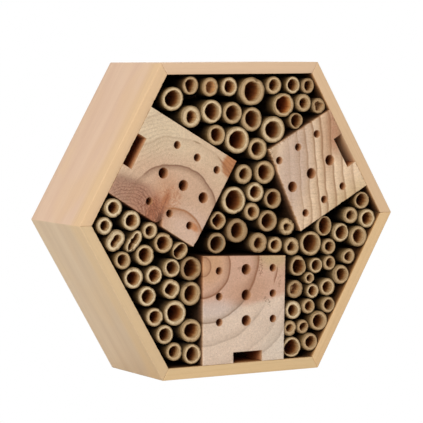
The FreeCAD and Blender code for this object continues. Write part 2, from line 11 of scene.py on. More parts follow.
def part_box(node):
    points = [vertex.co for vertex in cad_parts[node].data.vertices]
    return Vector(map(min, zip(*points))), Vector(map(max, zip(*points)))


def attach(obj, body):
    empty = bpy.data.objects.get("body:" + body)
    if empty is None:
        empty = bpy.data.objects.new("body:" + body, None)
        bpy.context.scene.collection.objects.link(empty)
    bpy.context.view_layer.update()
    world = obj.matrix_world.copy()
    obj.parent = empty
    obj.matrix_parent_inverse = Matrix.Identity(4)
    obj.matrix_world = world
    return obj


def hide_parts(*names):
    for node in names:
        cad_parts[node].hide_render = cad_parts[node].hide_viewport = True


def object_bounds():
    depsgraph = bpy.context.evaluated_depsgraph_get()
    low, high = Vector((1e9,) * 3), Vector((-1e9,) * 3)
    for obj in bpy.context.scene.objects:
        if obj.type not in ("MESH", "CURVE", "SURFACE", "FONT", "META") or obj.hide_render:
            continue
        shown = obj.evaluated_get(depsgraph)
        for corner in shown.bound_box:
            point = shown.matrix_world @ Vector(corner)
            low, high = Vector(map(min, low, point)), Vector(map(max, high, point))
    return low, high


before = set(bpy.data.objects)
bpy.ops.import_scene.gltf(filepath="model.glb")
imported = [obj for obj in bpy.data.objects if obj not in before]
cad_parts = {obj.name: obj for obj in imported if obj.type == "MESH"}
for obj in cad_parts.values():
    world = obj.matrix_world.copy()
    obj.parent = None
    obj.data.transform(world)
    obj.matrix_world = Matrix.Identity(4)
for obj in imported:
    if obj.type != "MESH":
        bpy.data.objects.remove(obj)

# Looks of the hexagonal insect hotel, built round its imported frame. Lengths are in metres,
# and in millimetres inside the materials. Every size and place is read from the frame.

MM = 0.001
TOUCH = 0.01 * MM  # Points closer than this count as level.
CAD_LOW, CAD_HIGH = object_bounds()
FRONT = CAD_LOW.y
BACK = CAD_HIGH.y
CENTRE_UP = (CAD_LOW.z + CAD_HIGH.z) / 2
APOTHEM = (CAD_HIGH.z - CAD_LOW.z) / 2
PANEL_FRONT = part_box("back_panel")[0].y
BOARD_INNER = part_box("frame_board_bottom")[1].z
SIDE_TURN = math.radians(60)
TURNS = {"bottom": 0, "lower_left": 1, "upper_left": 2, "top": 3, "upper_right": 4,
         "lower_right": 5}


# ---------------------------------------------------------------- camera, lights and floor

CAMERA_PLACE = (-0.7191, -1.2576, 0.2079)
CAMERA_LENS = 189.4
CAMERA_PITCH, CAMERA_YAW, CAMERA_ROLL = 4.05, -29.70, -0.21  # Degrees.
FLOOR_REACH = 6.0
WHITE = (1, 1, 1, 1)


def add_object(name, data):
    """A new object in the scene."""
    thing = bpy.data.objects.new(name, data)
    bpy.context.scene.collection.objects.link(thing)
    return thing


def add_camera():
    """A long lens at the front left, a little above the middle."""
    data = bpy.data.cameras.new("view")
    data.sensor_width = 36
    data.lens = CAMERA_LENS
    camera = add_object("view", data)
    level = Matrix(((1, 0, 0), (0, 0, -1), (0, 1, 0)))
    seen = (Matrix.Rotation(math.radians(CAMERA_PITCH), 3, "X")
            @ Matrix.Rotation(math.radians(CAMERA_YAW), 3, "Y")
            @ Matrix.Rotation(math.radians(CAMERA_ROLL), 3, "Z") @ level)
    turn = seen.transposed() @ Matrix.Diagonal((1, -1, -1))
    camera.matrix_world = Matrix.Translation(CAMERA_PLACE) @ turn.to_4x4()
    bpy.context.scene.camera = camera


def add_light(name, place, size, power, colour):
    """A rectangular light that points at the middle of the hotel."""
    data = bpy.data.lights.new(name, "AREA")
    data.shape = "RECTANGLE"
    data.size, data.size_y = size
    data.energy = power
    data.color = colour
    light = add_object(name, data)
    light.location = place
    way = Vector((0, 0, CENTRE_UP)) - Vector(place)
    light.rotation_euler = way.to_track_quat("-Z", "Y").to_euler()


def show_by_ray(tree, unseen, seen, out):
    """Give the camera one shader, and all other rays the first."""
    rays = tree.nodes.new("ShaderNodeLightPath")
    both = tree.nodes.new("ShaderNodeMixShader")
    tree.links.new(rays.outputs["Is Camera Ray"], both.inputs[0])
    tree.links.new(unseen.outputs[0], both.inputs[1])
    tree.links.new(seen.outputs[0], both.inputs[2])
    tree.links.new(both.outputs[0], out.inputs[0])


def add_studio():
    """White surroundings, a broad soft key from the upper left front and a pale floor."""
    world = bpy.data.worlds.new("studio")
    bpy.context.scene.world = world
    world.use_nodes = True
    tree = world.node_tree
    tree.nodes.clear()
    seen = tree.nodes.new("ShaderNodeBackground")
    seen.inputs["Color"].default_value = WHITE
    seen.inputs["Strength"].default_value = 1.0
    fill = tree.nodes.new("ShaderNodeBackground")
    fill.inputs["Color"].default_value = (1.0, 0.985, 0.965, 1)
    fill.inputs["Strength"].default_value = 0.5
    show_by_ray(tree, fill, seen, tree.nodes.new("ShaderNodeOutputWorld"))
    add_light("key", (-1.4, -1.25, 0.85), (0.9, 0.9), 24, (1.0, 0.99, 0.975))
    add_light("rear", (0.9, 1.6, 1.1), (1.2, 1.0), 16, (1.0, 0.99, 0.98))

    data = bpy.data.meshes.new("floor")
    corners = [(across * FLOOR_REACH, behind * FLOOR_REACH, 0)
               for across, behind in ((-1, -1), (1, -1), (1, 1), (-1, 1))]
    data.from_pydata(corners, [], [(0, 1, 2, 3)])
    floor = add_object("floor", data)
    material = bpy.data.materials.new("floor_white")
    material.use_nodes = True
    tree = material.node_tree
    shader = tree.nodes["Principled BSDF"]
    shader.inputs["Base Color"].default_value = (0.85, 0.85, 0.85, 1)
    shader.inputs["Roughness"].default_value = 0.9
    glow = tree.nodes.new("ShaderNodeEmission")
    show_by_ray(tree, shader, glow, tree.nodes["Material Output"])
    data.materials.append(material)
    bpy.context.scene.view_settings.view_transform = "Standard"


# ---------------------------------------------------------------- material building blocks

class Graph:
    """A material's nodes. Values are numbers, colours or another node's output. Noise follows
    grain, the place in millimetres unless a material sets its own."""

    def __init__(self, name, roughness, specular=0.5):
        self.material = bpy.data.materials.new(name)
        self.material.use_nodes = True
        self.tree = self.material.node_tree
        self.shader = self.tree.nodes["Principled BSDF"]
        self.shader.inputs["Roughness"].default_value = roughness
        self.shader.inputs["Specular IOR Level"].default_value = specular
        metres = self.node("ShaderNodeTexCoord", {}, "Object")
        self.place = self.node("ShaderNodeVectorMath", {0: metres, "Scale": 1 / MM}, "Vector",
                               operation="SCALE")
        self.grain = self.place

    def node(self, kind, inputs, output=0, **settings):
        """Add a node, feed its inputs and give back one output, by number or name."""
        node = self.tree.nodes.new(kind)
        for key, value in settings.items():
            setattr(node, key, value)
        for key, value in inputs.items():
            self.feed(value, node.inputs[key])
        return node.outputs[output]

    def feed(self, value, socket):
        if isinstance(value, bpy.types.NodeSocket):
            self.tree.links.new(value, socket)
        elif isinstance(value, (int, float)):
            socket.default_value = value
        else:
            length = len(socket.default_value)
            socket.default_value = (*value, 1.0)[:length]

    def math(self, operation, *values):
        return self.node("ShaderNodeMath", dict(enumerate(values)), operation=operation)

    def plus(self, first, second):
        return self.math("ADD", first, second)

    def minus(self, first, second):
        return self.math("SUBTRACT", first, second)

    def times(self, first, second):
        return self.math("MULTIPLY", first, second)

    def vector(self, operation, *values):
        return self.node("ShaderNodeVectorMath", dict(enumerate(values)),
                         "Value" if operation == "LENGTH" else "Vector", operation=operation)

    def split(self, vector):
        return self.node("ShaderNodeSeparateXYZ", {0: vector}).node.outputs

    def join(self, across, behind, up):
        return self.node("ShaderNodeCombineXYZ", {0: across, 1: behind, 2: up})

    def noise(self, stretch, detail=3.0, rough=0.5):
        """Noise from 0 to 1, with stretch in waves per millimetre along each axis."""
        return self.node("ShaderNodeTexNoise", {
            "Vector": self.vector("MULTIPLY", self.grain, stretch), "Scale": 1.0,
            "Detail": detail, "Roughness": rough}, "Fac")

    def spots(self, stretch, size):
        """1 at the middle of scattered cells, falling to 0 at size cells away."""
        away = self.node("ShaderNodeTexVoronoi", {
            "Vector": self.vector("MULTIPLY", self.grain, stretch), "Scale": 1.0}, "Distance")
        return self.fall(away, 0.0, size)

    def rise(self, value, start, end, low=0.0, high=1.0):
        """A smooth step up from start to end."""
        return self.node("ShaderNodeMapRange", {0: value, 1: start, 2: end, 3: low, 4: high},
                         interpolation_type="SMOOTHSTEP")

    def fall(self, value, start, end):
        return self.rise(value, start, end, 1.0, 0.0)

    def ramp(self, value, stops):
        """Colours or greys at places from 0 to 1."""
        output = self.node("ShaderNodeValToRGB", {0: value})
        elements = output.node.color_ramp.elements
        while len(elements) < len(stops):
            elements.new(0.5)
        for element, (place, colour) in zip(elements, sorted(stops)):
            element.position = place
            element.color = (*colour, 1) if hasattr(colour, "__len__") else (colour,) * 3 + (1,)
        return output

    def mix(self, factor, first, second, blend="MIX"):
        return self.node("ShaderNodeMix", {0: factor, 6: first, 7: second}, 2,
                         data_type="RGBA", blend_type=blend)

    def stain(self, colour, value, start, end, amount, tint):
        """Take a colour towards a tint, by up to amount, as a value goes from start to end."""
        return self.mix(self.rise(value, start, end, 0.0, amount), colour, tint)

    def attribute(self, name):
        return self.node("ShaderNodeAttribute", {}, "Fac", attribute_name=name)

    def bump(self, height, depth):
        """Relief of depth millimetres where height runs from 0 to 1, over any earlier one."""
        normal = self.shader.inputs["Normal"]
        inputs = {"Strength": 1.0, "Distance": depth * MM, "Height": height}
        if normal.is_linked:
            inputs["Normal"] = normal.links[0].from_socket
        self.feed(self.node("ShaderNodeBump", inputs), normal)

    def dim(self, colour, stops, within=1.0):
        """Paint shade into a colour as its depth behind the front grows: (millimetres, share
        left).
        """
        behind = self.minus(self.split(self.place)[1], FRONT / MM)
        longest = stops[-1][0]
        left = self.ramp(self.math("DIVIDE", behind, longest),
                         [(depth / longest, share) for depth, share in stops])
        return self.mix(within, colour, self.mix(1.0, colour, left, "MULTIPLY"))

    def finish(self, colour, roughness=None):
        self.feed(colour, self.shader.inputs["Base Color"])
        if roughness is not None:
            self.feed(roughness, self.shader.inputs["Roughness"])
        return self.material


def scaled(colour, factor):
    return tuple(channel * factor for channel in colour)


# ---------------------------------------------------------------- softwood boards

BLOCKS = ("upper_left", "upper_right", "bottom")

# Painted shade: the share of a colour that is left at depths behind the front, on the tubes' skin,
# on the sides of the boards and blocks that face the gaps, and in holes and slots.
SKIN_PAINTED_SHADE = [(0.0, (1, 1, 1)), (1.2, (0.82, 0.77, 0.68)), (3.0, (0.46, 0.37, 0.27)),
          (6.0, (0.17, 0.12, 0.075)), (11.0, (0.04, 0.03, 0.02)), (60.0, (0.02, 0.015, 0.01))]
SIDE_PAINTED_SHADE = [(0.0, (1, 1, 1)), (0.6, (0.86, 0.74, 0.60)), (1.6, (0.50, 0.36, 0.24)),
           (3.5, (0.20, 0.12, 0.07)), (8.0, (0.07, 0.04, 0.02)), (60.0, (0.02, 0.015, 0.01))]
HOLE_PAINTED_SHADE = [(0.0, (1, 1, 1)), (1.0, (0.98, 0.92, 0.86)), (2.5, (0.82, 0.62, 0.48)),
          (5.0, (0.55, 0.32, 0.20)), (9.0, (0.36, 0.16, 0.08)), (16.0, (0.28, 0.10, 0.045)),
          (60.0, (0.20, 0.06, 0.03))]
PINE_RING_PITCH = 8.5


def pine(side, light, dark, strip, pith, seed):
    """Planed softwood whose grain runs along its board. strip is the width and tint of the
    yellower wood at the front edge, and pith the middle of the growth rings, behind and up."""
    g = Graph(f"pine_{side}", 0.62, 0.25)
    flat = g.node("ShaderNodeVectorRotate", {
        "Vector": g.place, "Center": (0, 0, CENTRE_UP / MM),
        "Angle": -TURNS[side] * SIDE_TURN}, rotation_type="Y_AXIS")
    board_across, _, board_up = g.split(flat)
    g.grain = g.vector("ADD", flat, (seed * 37.0, 0, 0))
    _, behind, up = g.split(g.grain)
    wander = g.noise((0.006, 0.03, 0.03), 2.0)
    fine_wander = g.noise((0.03, 0.25, 0.25), 3.0)
    drift = g.plus(g.times(wander, 26.0), g.times(fine_wander, 1.6))
    across = g.plus(g.plus(behind, -pith[0]), drift)
    rings = g.math("SQRT", g.plus(g.math("POWER", across, 2.0),
                                  g.math("POWER", g.plus(up, -pith[1]), 2.0)))
    phase = g.math("FRACT", g.math("DIVIDE", rings, PINE_RING_PITCH))
    late = g.ramp(phase, [(0.0, 0.1), (0.08, 0.0), (0.55, 0.12), (0.86, 0.8), (0.95, 1.0),
                          (1.0, 0.1)])
    fibres = g.noise((0.05, 3.0, 3.0), 4.0, 0.6)
    broad = g.noise((0.008, 0.07, 0.07), 3.0)
    cloud = g.noise((0.02, 0.03, 0.03), 2.0)
    pores = g.noise((0.6, 6.0, 6.0), 2.0)
    width, tint = strip
    edge = g.plus(behind, g.times(g.minus(wander, 0.5), 12.0))
    colour = g.mix(g.rise(broad, 0.38, 0.62, 0.0, 0.7), light, dark)
    colour = g.stain(colour, cloud, 0.45, 0.7, 0.45, tint)
    colour = g.mix(g.fall(edge, FRONT / MM + 0.6 * width, FRONT / MM + 1.3 * width), colour, tint)
    colour = g.mix(g.times(late, 0.2), colour, scaled(dark, 0.85))
    colour = g.stain(colour, fibres, 0.45, 0.75, 0.14, scaled(dark, 0.8))
    streaks = g.noise((0.02, 1.1, 1.1), 3.0, 0.6)
    colour = g.stain(colour, streaks, 0.5, 0.72, 0.3, scaled(dark, 0.84))
    colour = g.stain(colour, pores, 0.6, 0.78, 0.10, scaled(dark, 0.6))
    # Painted shade: the board's inner face darkens with depth behind the front, and where it shows
    # through a block's slot it darkens further in, less so under the upper right block.
    inside = g.rise(board_up, BOARD_INNER / MM - 0.6, BOARD_INNER / MM - 0.2)
    colour_with_inner_shade = g.dim(colour, SIDE_PAINTED_SHADE, inside)
    if side in BLOCKS:  # The board shows through the slot of the block on it.
        low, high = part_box(f"block_{side}")
        middle = turned([(low + high) / 2], -TURNS[side])[0][0] / MM
        away = g.math("ABSOLUTE", g.minus(board_across, middle))
        slot_shade_share = g.times(inside, 0.55 if side == "upper_right" else 1.0)
        colour = g.mix(g.rise(away, 17.0, 20.0), g.dim(colour, HOLE_PAINTED_SHADE, slot_shade_share), colour_with_inner_shade)
    else:
        colour = colour_with_inner_shade
    g.bump(late, 0.05)
    g.bump(fibres, 0.08)
    return g.finish(colour, g.rise(fibres, 0.2, 0.8, 0.55, 0.72))


def spot(block, across, up):
    """A place in a block's box, from 0 to 1 each way, in millimetres across and up."""
    low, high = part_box(f"block_{block}")
    return ((low.x + across * (high.x - low.x)) / MM, (low.z + up * (high.z - low.z)) / MM)


def distance_from(g, block, place, wobble=0.0, stretch=(1.0, 1.0), lean=0.0, waves=0.06):
    """Distance over the front face from a place in a block's box, wobbled by noise and
    stretched along a lean."""
    middle = spot(block, *place)
    across, _, up = g.split(g.place)
    across = g.minus(across, middle[0])
    up = g.minus(up, middle[1])
    cos, sin = math.cos(math.radians(lean)), math.sin(math.radians(lean))
    along = g.plus(g.times(across, cos), g.times(up, sin))
    aside = g.minus(g.times(up, cos), g.times(across, sin))
    flat = g.join(g.math("DIVIDE", along, stretch[0]), 0.0, g.math("DIVIDE", aside, stretch[1]))
    ripple = g.minus(g.noise((waves, 0.01, waves), 3.0), 0.5)
    return g.plus(g.vector("LENGTH", flat), g.times(ripple, wobble))


def ring_lines(g, reach, lines, span):
    """Dark latewood at distances from the pith: (distance, strength, width) each, or one pitch
    and strength for fine even lines. span is where the first and last may lie."""
    start, end = span
    if not hasattr(lines[0], "__len__"):
        pitch, strength = lines
        wave = g.math("SINE", g.times(reach, math.tau / pitch))
        shown = g.times(g.rise(reach, start, start + 2 * pitch),
                        g.fall(reach, end - 3 * pitch, end))
        return g.times(g.rise(wave, 0.0, 1.0, 0.0, strength), shown)
    stops = []
    for middle, strength, width in lines:
        stops += [(middle - 3.2 * width, 0.0), (middle - 0.8 * width, 0.45 * strength),
                  (middle, strength), (middle + 0.5 * width, 0.0)]
    stops = [((place - start) / (end - start), level) for place, level in stops]
    share = g.math("DIVIDE", g.minus(reach, start), end - start)
    return g.ramp(share, [stop for stop in stops if 0 <= stop[0] <= 1])


def end_grain(block, light, dark, rings, patches, veins, flecks=0.5, sawn=0.12):
    """Sawn end grain: soft patches of colour, then growth rings, then fibres and speckle, then
    painted shade on the sides and in the holes.

    A patch is an oval: (middle, size, lean, softness, wobble, tint, strength). A ring set is
    (pith, wobble, lines, span, tint, where), and where is None or the middle, size and lean of
    the oval that the set shows in. Veins are dark threads in an oval: (middle, size, lean,
    waves per millimetre, tint, strength). Middles and piths are places in the block's box."""
    g = Graph(f"timber_{block}", 0.75, 0.2)
    cloud = g.noise((0.035, 0.008, 0.035), 3.0, 0.55)
    colour = g.mix(g.rise(cloud, 0.35, 0.7), light, scaled(light, 0.92))
    for middle, size, lean, soft, wobble, tint, strength in patches:
        reach = distance_from(g, block, middle, wobble / size[0], size, lean)
        inside = g.times(g.fall(reach, 1.0 - soft, 1.0 + soft), strength)
        colour = g.mix(inside, colour, tint)
    for middle, size, lean, waves, tint, strength in veins:
        reach = distance_from(g, block, middle, 0.3, size, lean)
        web = g.noise((waves, 0.02, waves), 3.0, 0.6)
        thread = g.fall(g.math("ABSOLUTE", g.minus(web, 0.5)), 0.0, 0.05)
        shown = g.times(g.fall(reach, 0.6, 1.1), strength)
        colour = g.mix(g.times(thread, shown), colour, tint)
    relief = None
    for middle, wobble, lines, span, tint, where in rings:
        waves = 0.03 if abs(middle[0]) > 5 else 0.06
        reach = distance_from(g, block, middle, wobble, waves=waves)
        late = ring_lines(g, reach, lines, span)
        if where:
            place, size, lean = where
            near = distance_from(g, block, place, 0.2, size, lean)
            late = g.times(late, g.fall(near, 0.75, 1.1))
        colour = g.mix(late, colour, tint)
        relief = late if relief is None else g.math("MAXIMUM", relief, late)
    fibres = g.noise((1.6, 0.05, 1.6), 4.0, 0.7)
    speckle = g.noise((4.0, 0.2, 4.0), 2.0, 0.6)
    grain = g.noise((0.8, 0.05, 0.8), 2.0, 0.7)
    saw = g.noise((0.12, 0.05, 1.5), 2.0, 0.6)
    pale = g.ramp(grain, [(0.3, 0.89), (0.5, 0.98), (0.7, 1.08)])
    colour = g.mix(1.0, colour, pale, "MULTIPLY")
    colour = g.stain(colour, saw, 0.5, 0.75, sawn, dark)
    dots = g.times(g.spots((0.32, 0.02, 0.32), 0.13), g.rise(cloud, 0.45, 0.6))
    colour = g.mix(g.times(dots, 0.8), colour, scaled(dark, 0.5))
    colour = g.stain(colour, fibres, 0.42, 0.72, 0.5 * flecks, dark)
    colour = g.stain(colour, speckle, 0.5, 0.75, 0.6 * flecks, scaled(dark, 0.8))
    # Painted shade: the block's sides darken with depth behind the front, and its holes, slot and
    # back take a browner colour that darkens further in.
    deep = g.attribute("deep")
    within = g.mix(0.85, colour, (0.66, 0.40, 0.22))
    colour = g.mix(g.rise(deep, 0.0, 0.02), g.dim(colour, SIDE_PAINTED_SHADE), g.dim(within, HOLE_PAINTED_SHADE))
    g.bump(relief, 0.15)
    g.bump(fibres, 0.35)
    g.bump(speckle, 0.12)
    return g.finish(colour)


def timber_upper_left():
    """A dark knot, split at its left end, with one bold ring round it and a stain beside it."""
    light, dark = (0.78, 0.58, 0.40), (0.40, 0.235, 0.13)
    patches = [
        ((0.30, 0.88), (36, 18), -30, 0.5, 6, (0.78, 0.64, 0.45), 0.75),
        ((0.52, 0.36), (38, 24), -25, 0.5, 10, (0.66, 0.425, 0.295), 0.8),
        ((0.15, 0.44), (19, 7), -22, 0.5, 6, (0.31, 0.165, 0.115), 0.85),
        ((0.12, 0.34), (22, 12), -30, 0.4, 9, (0.53, 0.30, 0.21), 0.8),
        ((0.30, 0.30), (17, 11), -40, 0.5, 9, (0.50, 0.255, 0.17), 0.8),
        ((0.46, 0.38), (9, 13), 10, 0.6, 9, (0.62, 0.33, 0.19), 0.6),
        ((0.425, 0.31), (10, 3.0), 68, 0.5, 5, (0.46, 0.165, 0.07), 0.95),
        ((0.34, 0.27), (10, 5), 70, 0.6, 8, (0.44, 0.155, 0.08), 0.85),
        ((0.388, 0.222), (3.6, 1.5), 60, 0.6, 2, (0.12, 0.035, 0.015), 0.95),
        ((0.42, 0.30), (8, 0.5), 66, 0.5, 1.5, (0.25, 0.07, 0.03), 0.85),
        ((0.68, 0.10), (24, 12), -35, 0.5, 8, (0.74, 0.52, 0.40), 0.9),
        ((0.655, 0.145), (4, 2.0), -40, 0.5, 3, (0.60, 0.21, 0.06), 0.8),
        ((0.965, 0.565), (8, 9), -30, 0.15, 6, (0.52, 0.20, 0.07), 0.9),
        ((0.903, 0.57), (7.5, 0.6), -51, 0.5, 1.2, (0.36, 0.14, 0.06), 0.75),
        ((0.685, 0.742), (3.0, 0.45), -20, 0.5, 1.0, (0.36, 0.24, 0.13), 0.75),
    ]
    pith = (0.47, 0.218)
    rings = [
        (pith, 5.0, [(33.8, 1.0, 1.3)], (20, 60), (0.24, 0.11, 0.065),
         ((0.58, 0.52), (34, 26), -20)),
        (pith, 5.0, [(33.8, 0.5, 1.3), (50.5, 0.3, 1.6), (66.0, 0.22, 1.6), (80.0, 0.2, 1.6)],
         (0, 100), (0.34, 0.20, 0.125), None),
        (pith, 6.0, (2.6, 0.16), (36, 78), (0.34, 0.20, 0.13), ((0.28, 0.72), (24, 26), 30)),
        ((0.455, -0.01), 5.0, [(26.8, 0.95, 1.9)], (10, 40), (0.40, 0.155, 0.05),
         ((0.62, 0.20), (19, 16), -30)),
        ((0.13, 0.22), 8.0, (2.3, 0.5), (5, 27), (0.24, 0.105, 0.065),
         ((0.20, 0.32), (22, 18), -30)),
        ((0.34, 0.24), 5.0, (1.7, 0.7), (1, 9), (0.22, 0.08, 0.045), None),
        ((1.25, 0.95), 6.0, (2.4, 0.4), (20, 60), (0.36, 0.11, 0.03),
         ((0.965, 0.565), (9, 10), -30)),
    ]
    veins = [
        ((0.33, 0.29), (13, 9), -35, 0.30, (0.24, 0.075, 0.035), 0.85),
        ((0.15, 0.42), (16, 9), -20, 0.45, (0.22, 0.11, 0.075), 0.7),
        ((0.47, 0.36), (10, 10), 0, 0.2, (0.52, 0.22, 0.11), 0.7),
    ]
    return end_grain("upper_left", light, dark, rings, patches, veins)


def timber_upper_right():
    """Bold near-straight rings from a far pith, and saw marks."""
    light, dark = (0.97, 0.735, 0.51), (0.42, 0.25, 0.15)
    patches = [
        ((0.24, 0.50), (36, 13), 80, 0.6, 8, (0.66, 0.49, 0.395), 0.85),
        ((0.66, 0.84), (17, 6), 95, 0.4, 6, (0.55, 0.275, 0.16), 0.8),
        ((0.57, 0.72), (20, 4), 95, 0.5, 6, (0.62, 0.37, 0.23), 0.6),
        ((0.86, 0.22), (24, 12), 30, 0.6, 8, (0.72, 0.53, 0.29), 0.7),
        ((0.04, 0.55), (28, 2.4), 85, 0.7, 4, (0.40, 0.25, 0.14), 0.5),
    ]
    pith = (-12.0, -0.72)
    left = 12.0 * (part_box("block_upper_right")[1].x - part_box("block_upper_right")[0].x) / MM
    lines = [(left + across, strength, 1.75) for across, strength in (
        (20.0, 0.25), (28.3, 0.55), (34.0, 0.7), (40.7, 0.9), (47.0, 0.95), (54.0, 0.9),
        (61.5, 0.8), (69.0, 0.6))]
    rings = [(pith, 10.0, lines, (left + 12, left + 74), (0.38, 0.20, 0.10), None)]
    veins = [
        ((0.64, 0.84), (12, 5), 95, 0.5, (0.42, 0.13, 0.06), 0.6),
        ((0.05, 0.50), (26, 1.6), 100, 0.5, (0.20, 0.11, 0.05), 0.8),
        ((0.22, 0.80), (18, 2), 30, 0.5, (0.22, 0.12, 0.06), 0.6),
    ]
    return end_grain("upper_right", light, dark, rings, patches, veins, flecks=0.4, sawn=0.3)


def timber_bottom():
    """Wide rings round a pith on the left edge, with a pinker upper half."""
    light, dark = (0.86, 0.69, 0.555), (0.43, 0.25, 0.15)
    patches = [
        ((0.40, 0.84), (58, 22), 3, 0.10, 8, (0.70, 0.425, 0.305), 0.9),
        ((0.02, 0.97), (16, 16), 0, 0.5, 4, (0.66, 0.37, 0.185), 0.7),
        ((0.55, 0.66), (14, 8), 10, 0.6, 6, (0.58, 0.33, 0.21), 0.5),
        ((0.12, 0.51), (17, 5.5), 0, 0.6, 5, (0.72, 0.58, 0.51), 0.85),
        ((0.88, 0.97), (12, 8), 0, 0.6, 6, (0.62, 0.46, 0.24), 0.7),
        ((0.95, 0.10), (18, 14), 40, 0.6, 6, (0.84, 0.73, 0.61), 0.8),
    ]
    brown, grey = (0.30, 0.125, 0.06), (0.33, 0.225, 0.16)
    low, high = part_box("block_bottom")
    tall = (high.z - low.z) / MM
    upper, lower = ((0.35, 0.95), (50, 30), 0), ((0.25, 0.36), (36, 17), 10)
    near, far = (0.0, 1 - 7.0 / tall), (0.0, 1 - 1.8 / tall)
    rings = [
        (near, 2.5, [(6.5, 0.8, 1.2), (20.3, 1.0, 1.45)], (0, 26), brown, None),
        (far, 3.0, [(41.0, 0.95, 1.9)], (34, 48), brown, upper),
        (far, 3.0, [(41.3, 0.9, 1.3), (56.0, 0.42, 1.7)], (34, 64), grey, lower),
        (far, 6.0, [(56.0, 0.95, 1.1)], (50, 62), brown, ((0.93, 0.74), (5, 10), 0)),
        (far, 4.0, [(69.0, 0.26, 1.7), (77.0, 0.42, 2.0)], (50, 90), grey, None),
    ]
    veins = [
        ((0.69, 0.88), (8, 2.4), 95, 0.4, (0.26, 0.10, 0.05), 0.75),
        ((0.77, 0.56), (7, 1.6), -45, 0.4, (0.22, 0.12, 0.07), 0.8),
        ((0.92, 0.72), (6, 1.4), 80, 0.5, (0.26, 0.12, 0.06), 0.7),
        ((0.44, 0.86), (3, 2), 0, 0.5, (0.30, 0.14, 0.08), 0.6),
    ]
    return end_grain("bottom", light, dark, rings, patches, veins)


# ---------------------------------------------------------------- bamboo materials

def bamboo_tones(g, pale, mid, brown):
    """A tube's own colour, from brown at tone 0 through mid to pale at 1."""
    return g.ramp(g.attribute("tone"), [(0.0, brown), (0.5, mid), (1.0, pale)])


def bamboo_skin():
    """Dry outer skin: olive tan, streaked lengthwise, with dusty patches, and painted shade
    further back.
    """
    g = Graph("bamboo_skin", 0.5)
    colour = bamboo_tones(g, (0.50, 0.38, 0.21), (0.40, 0.285, 0.14), (0.24, 0.145, 0.065))
    streaks = g.noise((1.5, 0.03, 1.5), 4.0, 0.65)
    patches = g.noise((0.12, 0.05, 0.12), 3.0)
    colour = g.stain(colour, streaks, 0.4, 0.72, 0.55, (0.16, 0.10, 0.045))
    colour = g.stain(colour, patches, 0.5, 0.75, 0.5, (0.50, 0.40, 0.24))
    # Painted shade: the skin darkens with depth behind the front, where the tubes shade each
    # other.
    colour = g.dim(colour, SKIN_PAINTED_SHADE)
    g.bump(streaks, 0.12)
    return g.finish(colour, g.rise(patches, 0.3, 0.7, 0.42, 0.62))


def bamboo_cut():
    """Cut end: pale wall dotted with fibre bundles, and a darker line under the skin."""
    g = Graph("bamboo_cut", 0.7, 0.25)
    colour = bamboo_tones(g, (0.87, 0.705, 0.46), (0.67, 0.475, 0.265), (0.34, 0.20, 0.10))
    colour = g.stain(colour, g.attribute("warm"), 0.5, 1.0, 0.5, (0.50, 0.29, 0.13))
    wall = g.attribute("wall")
    cloud = g.noise((0.3, 0.05, 0.3), 3.0)
    colour = g.stain(colour, cloud, 0.4, 0.7, 0.4, (0.42, 0.28, 0.14))
    dots = g.spots((2.1, 0.05, 2.1), 0.42)
    crowd = g.rise(wall, 0.2, 0.95, 0.15, 0.75)
    colour = g.mix(g.times(dots, crowd), colour, (0.22, 0.125, 0.055))
    colour = g.stain(colour, wall, 0.55, 0.97, 0.8, (0.22, 0.135, 0.06))
    colour = g.mix(g.fall(wall, 0.02, 0.16), colour, (0.38, 0.23, 0.11))
    fine = g.noise((1.5, 0.1, 1.5), 4.0, 0.75)
    colour = g.stain(colour, fine, 0.46, 0.7, 0.45, (0.25, 0.15, 0.07))
    g.bump(dots, 0.1)
    g.bump(fine, 0.3)
    return g.finish(colour)


def bamboo_bore():
    """Bore: orange brown or greyer, with remains of pale pith, and painted shade further in."""
    g = Graph("bamboo_bore", 0.6)
    colour = g.ramp(g.attribute("warm"), [(0.0, (0.40, 0.31, 0.19)), (0.5, (0.56, 0.385, 0.20)),
                                          (1.0, (0.72, 0.38, 0.14))])
    streaks = g.noise((0.9, 0.06, 0.9), 4.0, 0.6)
    pith = g.noise((0.35, 0.12, 0.35), 3.0)
    colour = g.stain(colour, streaks, 0.42, 0.7, 0.5, (0.25, 0.12, 0.045))
    colour = g.stain(colour, pith, 0.55, 0.72, 0.35, (0.58, 0.42, 0.24))
    # Painted shade: the ramp darkens and reddens the bore with its depth.
    deep = g.attribute("deep")
    left = g.ramp(deep, [(0.0, (1, 1, 1)), (0.03, (0.93, 0.82, 0.68)), (0.075, (0.56, 0.30, 0.14)),
                         (0.13, (0.38, 0.15, 0.055)), (0.35, (0.34, 0.11, 0.035)),
                         (1.0, (0.2, 0.06, 0.03))])
    dark = g.mix(1.0, colour, left, "MULTIPLY")
    # shallow takes the painted shade back off for bores stopped near the front.
    colour = g.mix(g.attribute("shallow"), dark, colour)
    g.bump(streaks, 0.2)
    return g.finish(colour)


# ---------------------------------------------------------------- panel and metal materials

def fibreboard():
    """Pressed brown fibreboard: matted fibres with a faint mesh print."""
    g = Graph("fibreboard", 0.8)
    fibres = g.noise((0.9, 0.9, 0.9), 5.0, 0.7)
    cloud = g.noise((0.03, 0.03, 0.03), 3.0)
    colour = g.mix(g.rise(fibres, 0.35, 0.7), (0.15, 0.075, 0.035), (0.26, 0.15, 0.08))
    colour = g.stain(colour, cloud, 0.4, 0.7, 0.35, (0.10, 0.05, 0.025))
    across, _, up = g.split(g.place)
    mesh = g.times(g.math("SINE", g.times(across, 3.4)), g.math("SINE", g.times(up, 3.4)))
    g.bump(mesh, 0.05)
    g.bump(fibres, 0.12)
    return g.finish(colour, g.rise(fibres, 0.3, 0.7, 0.7, 0.88))


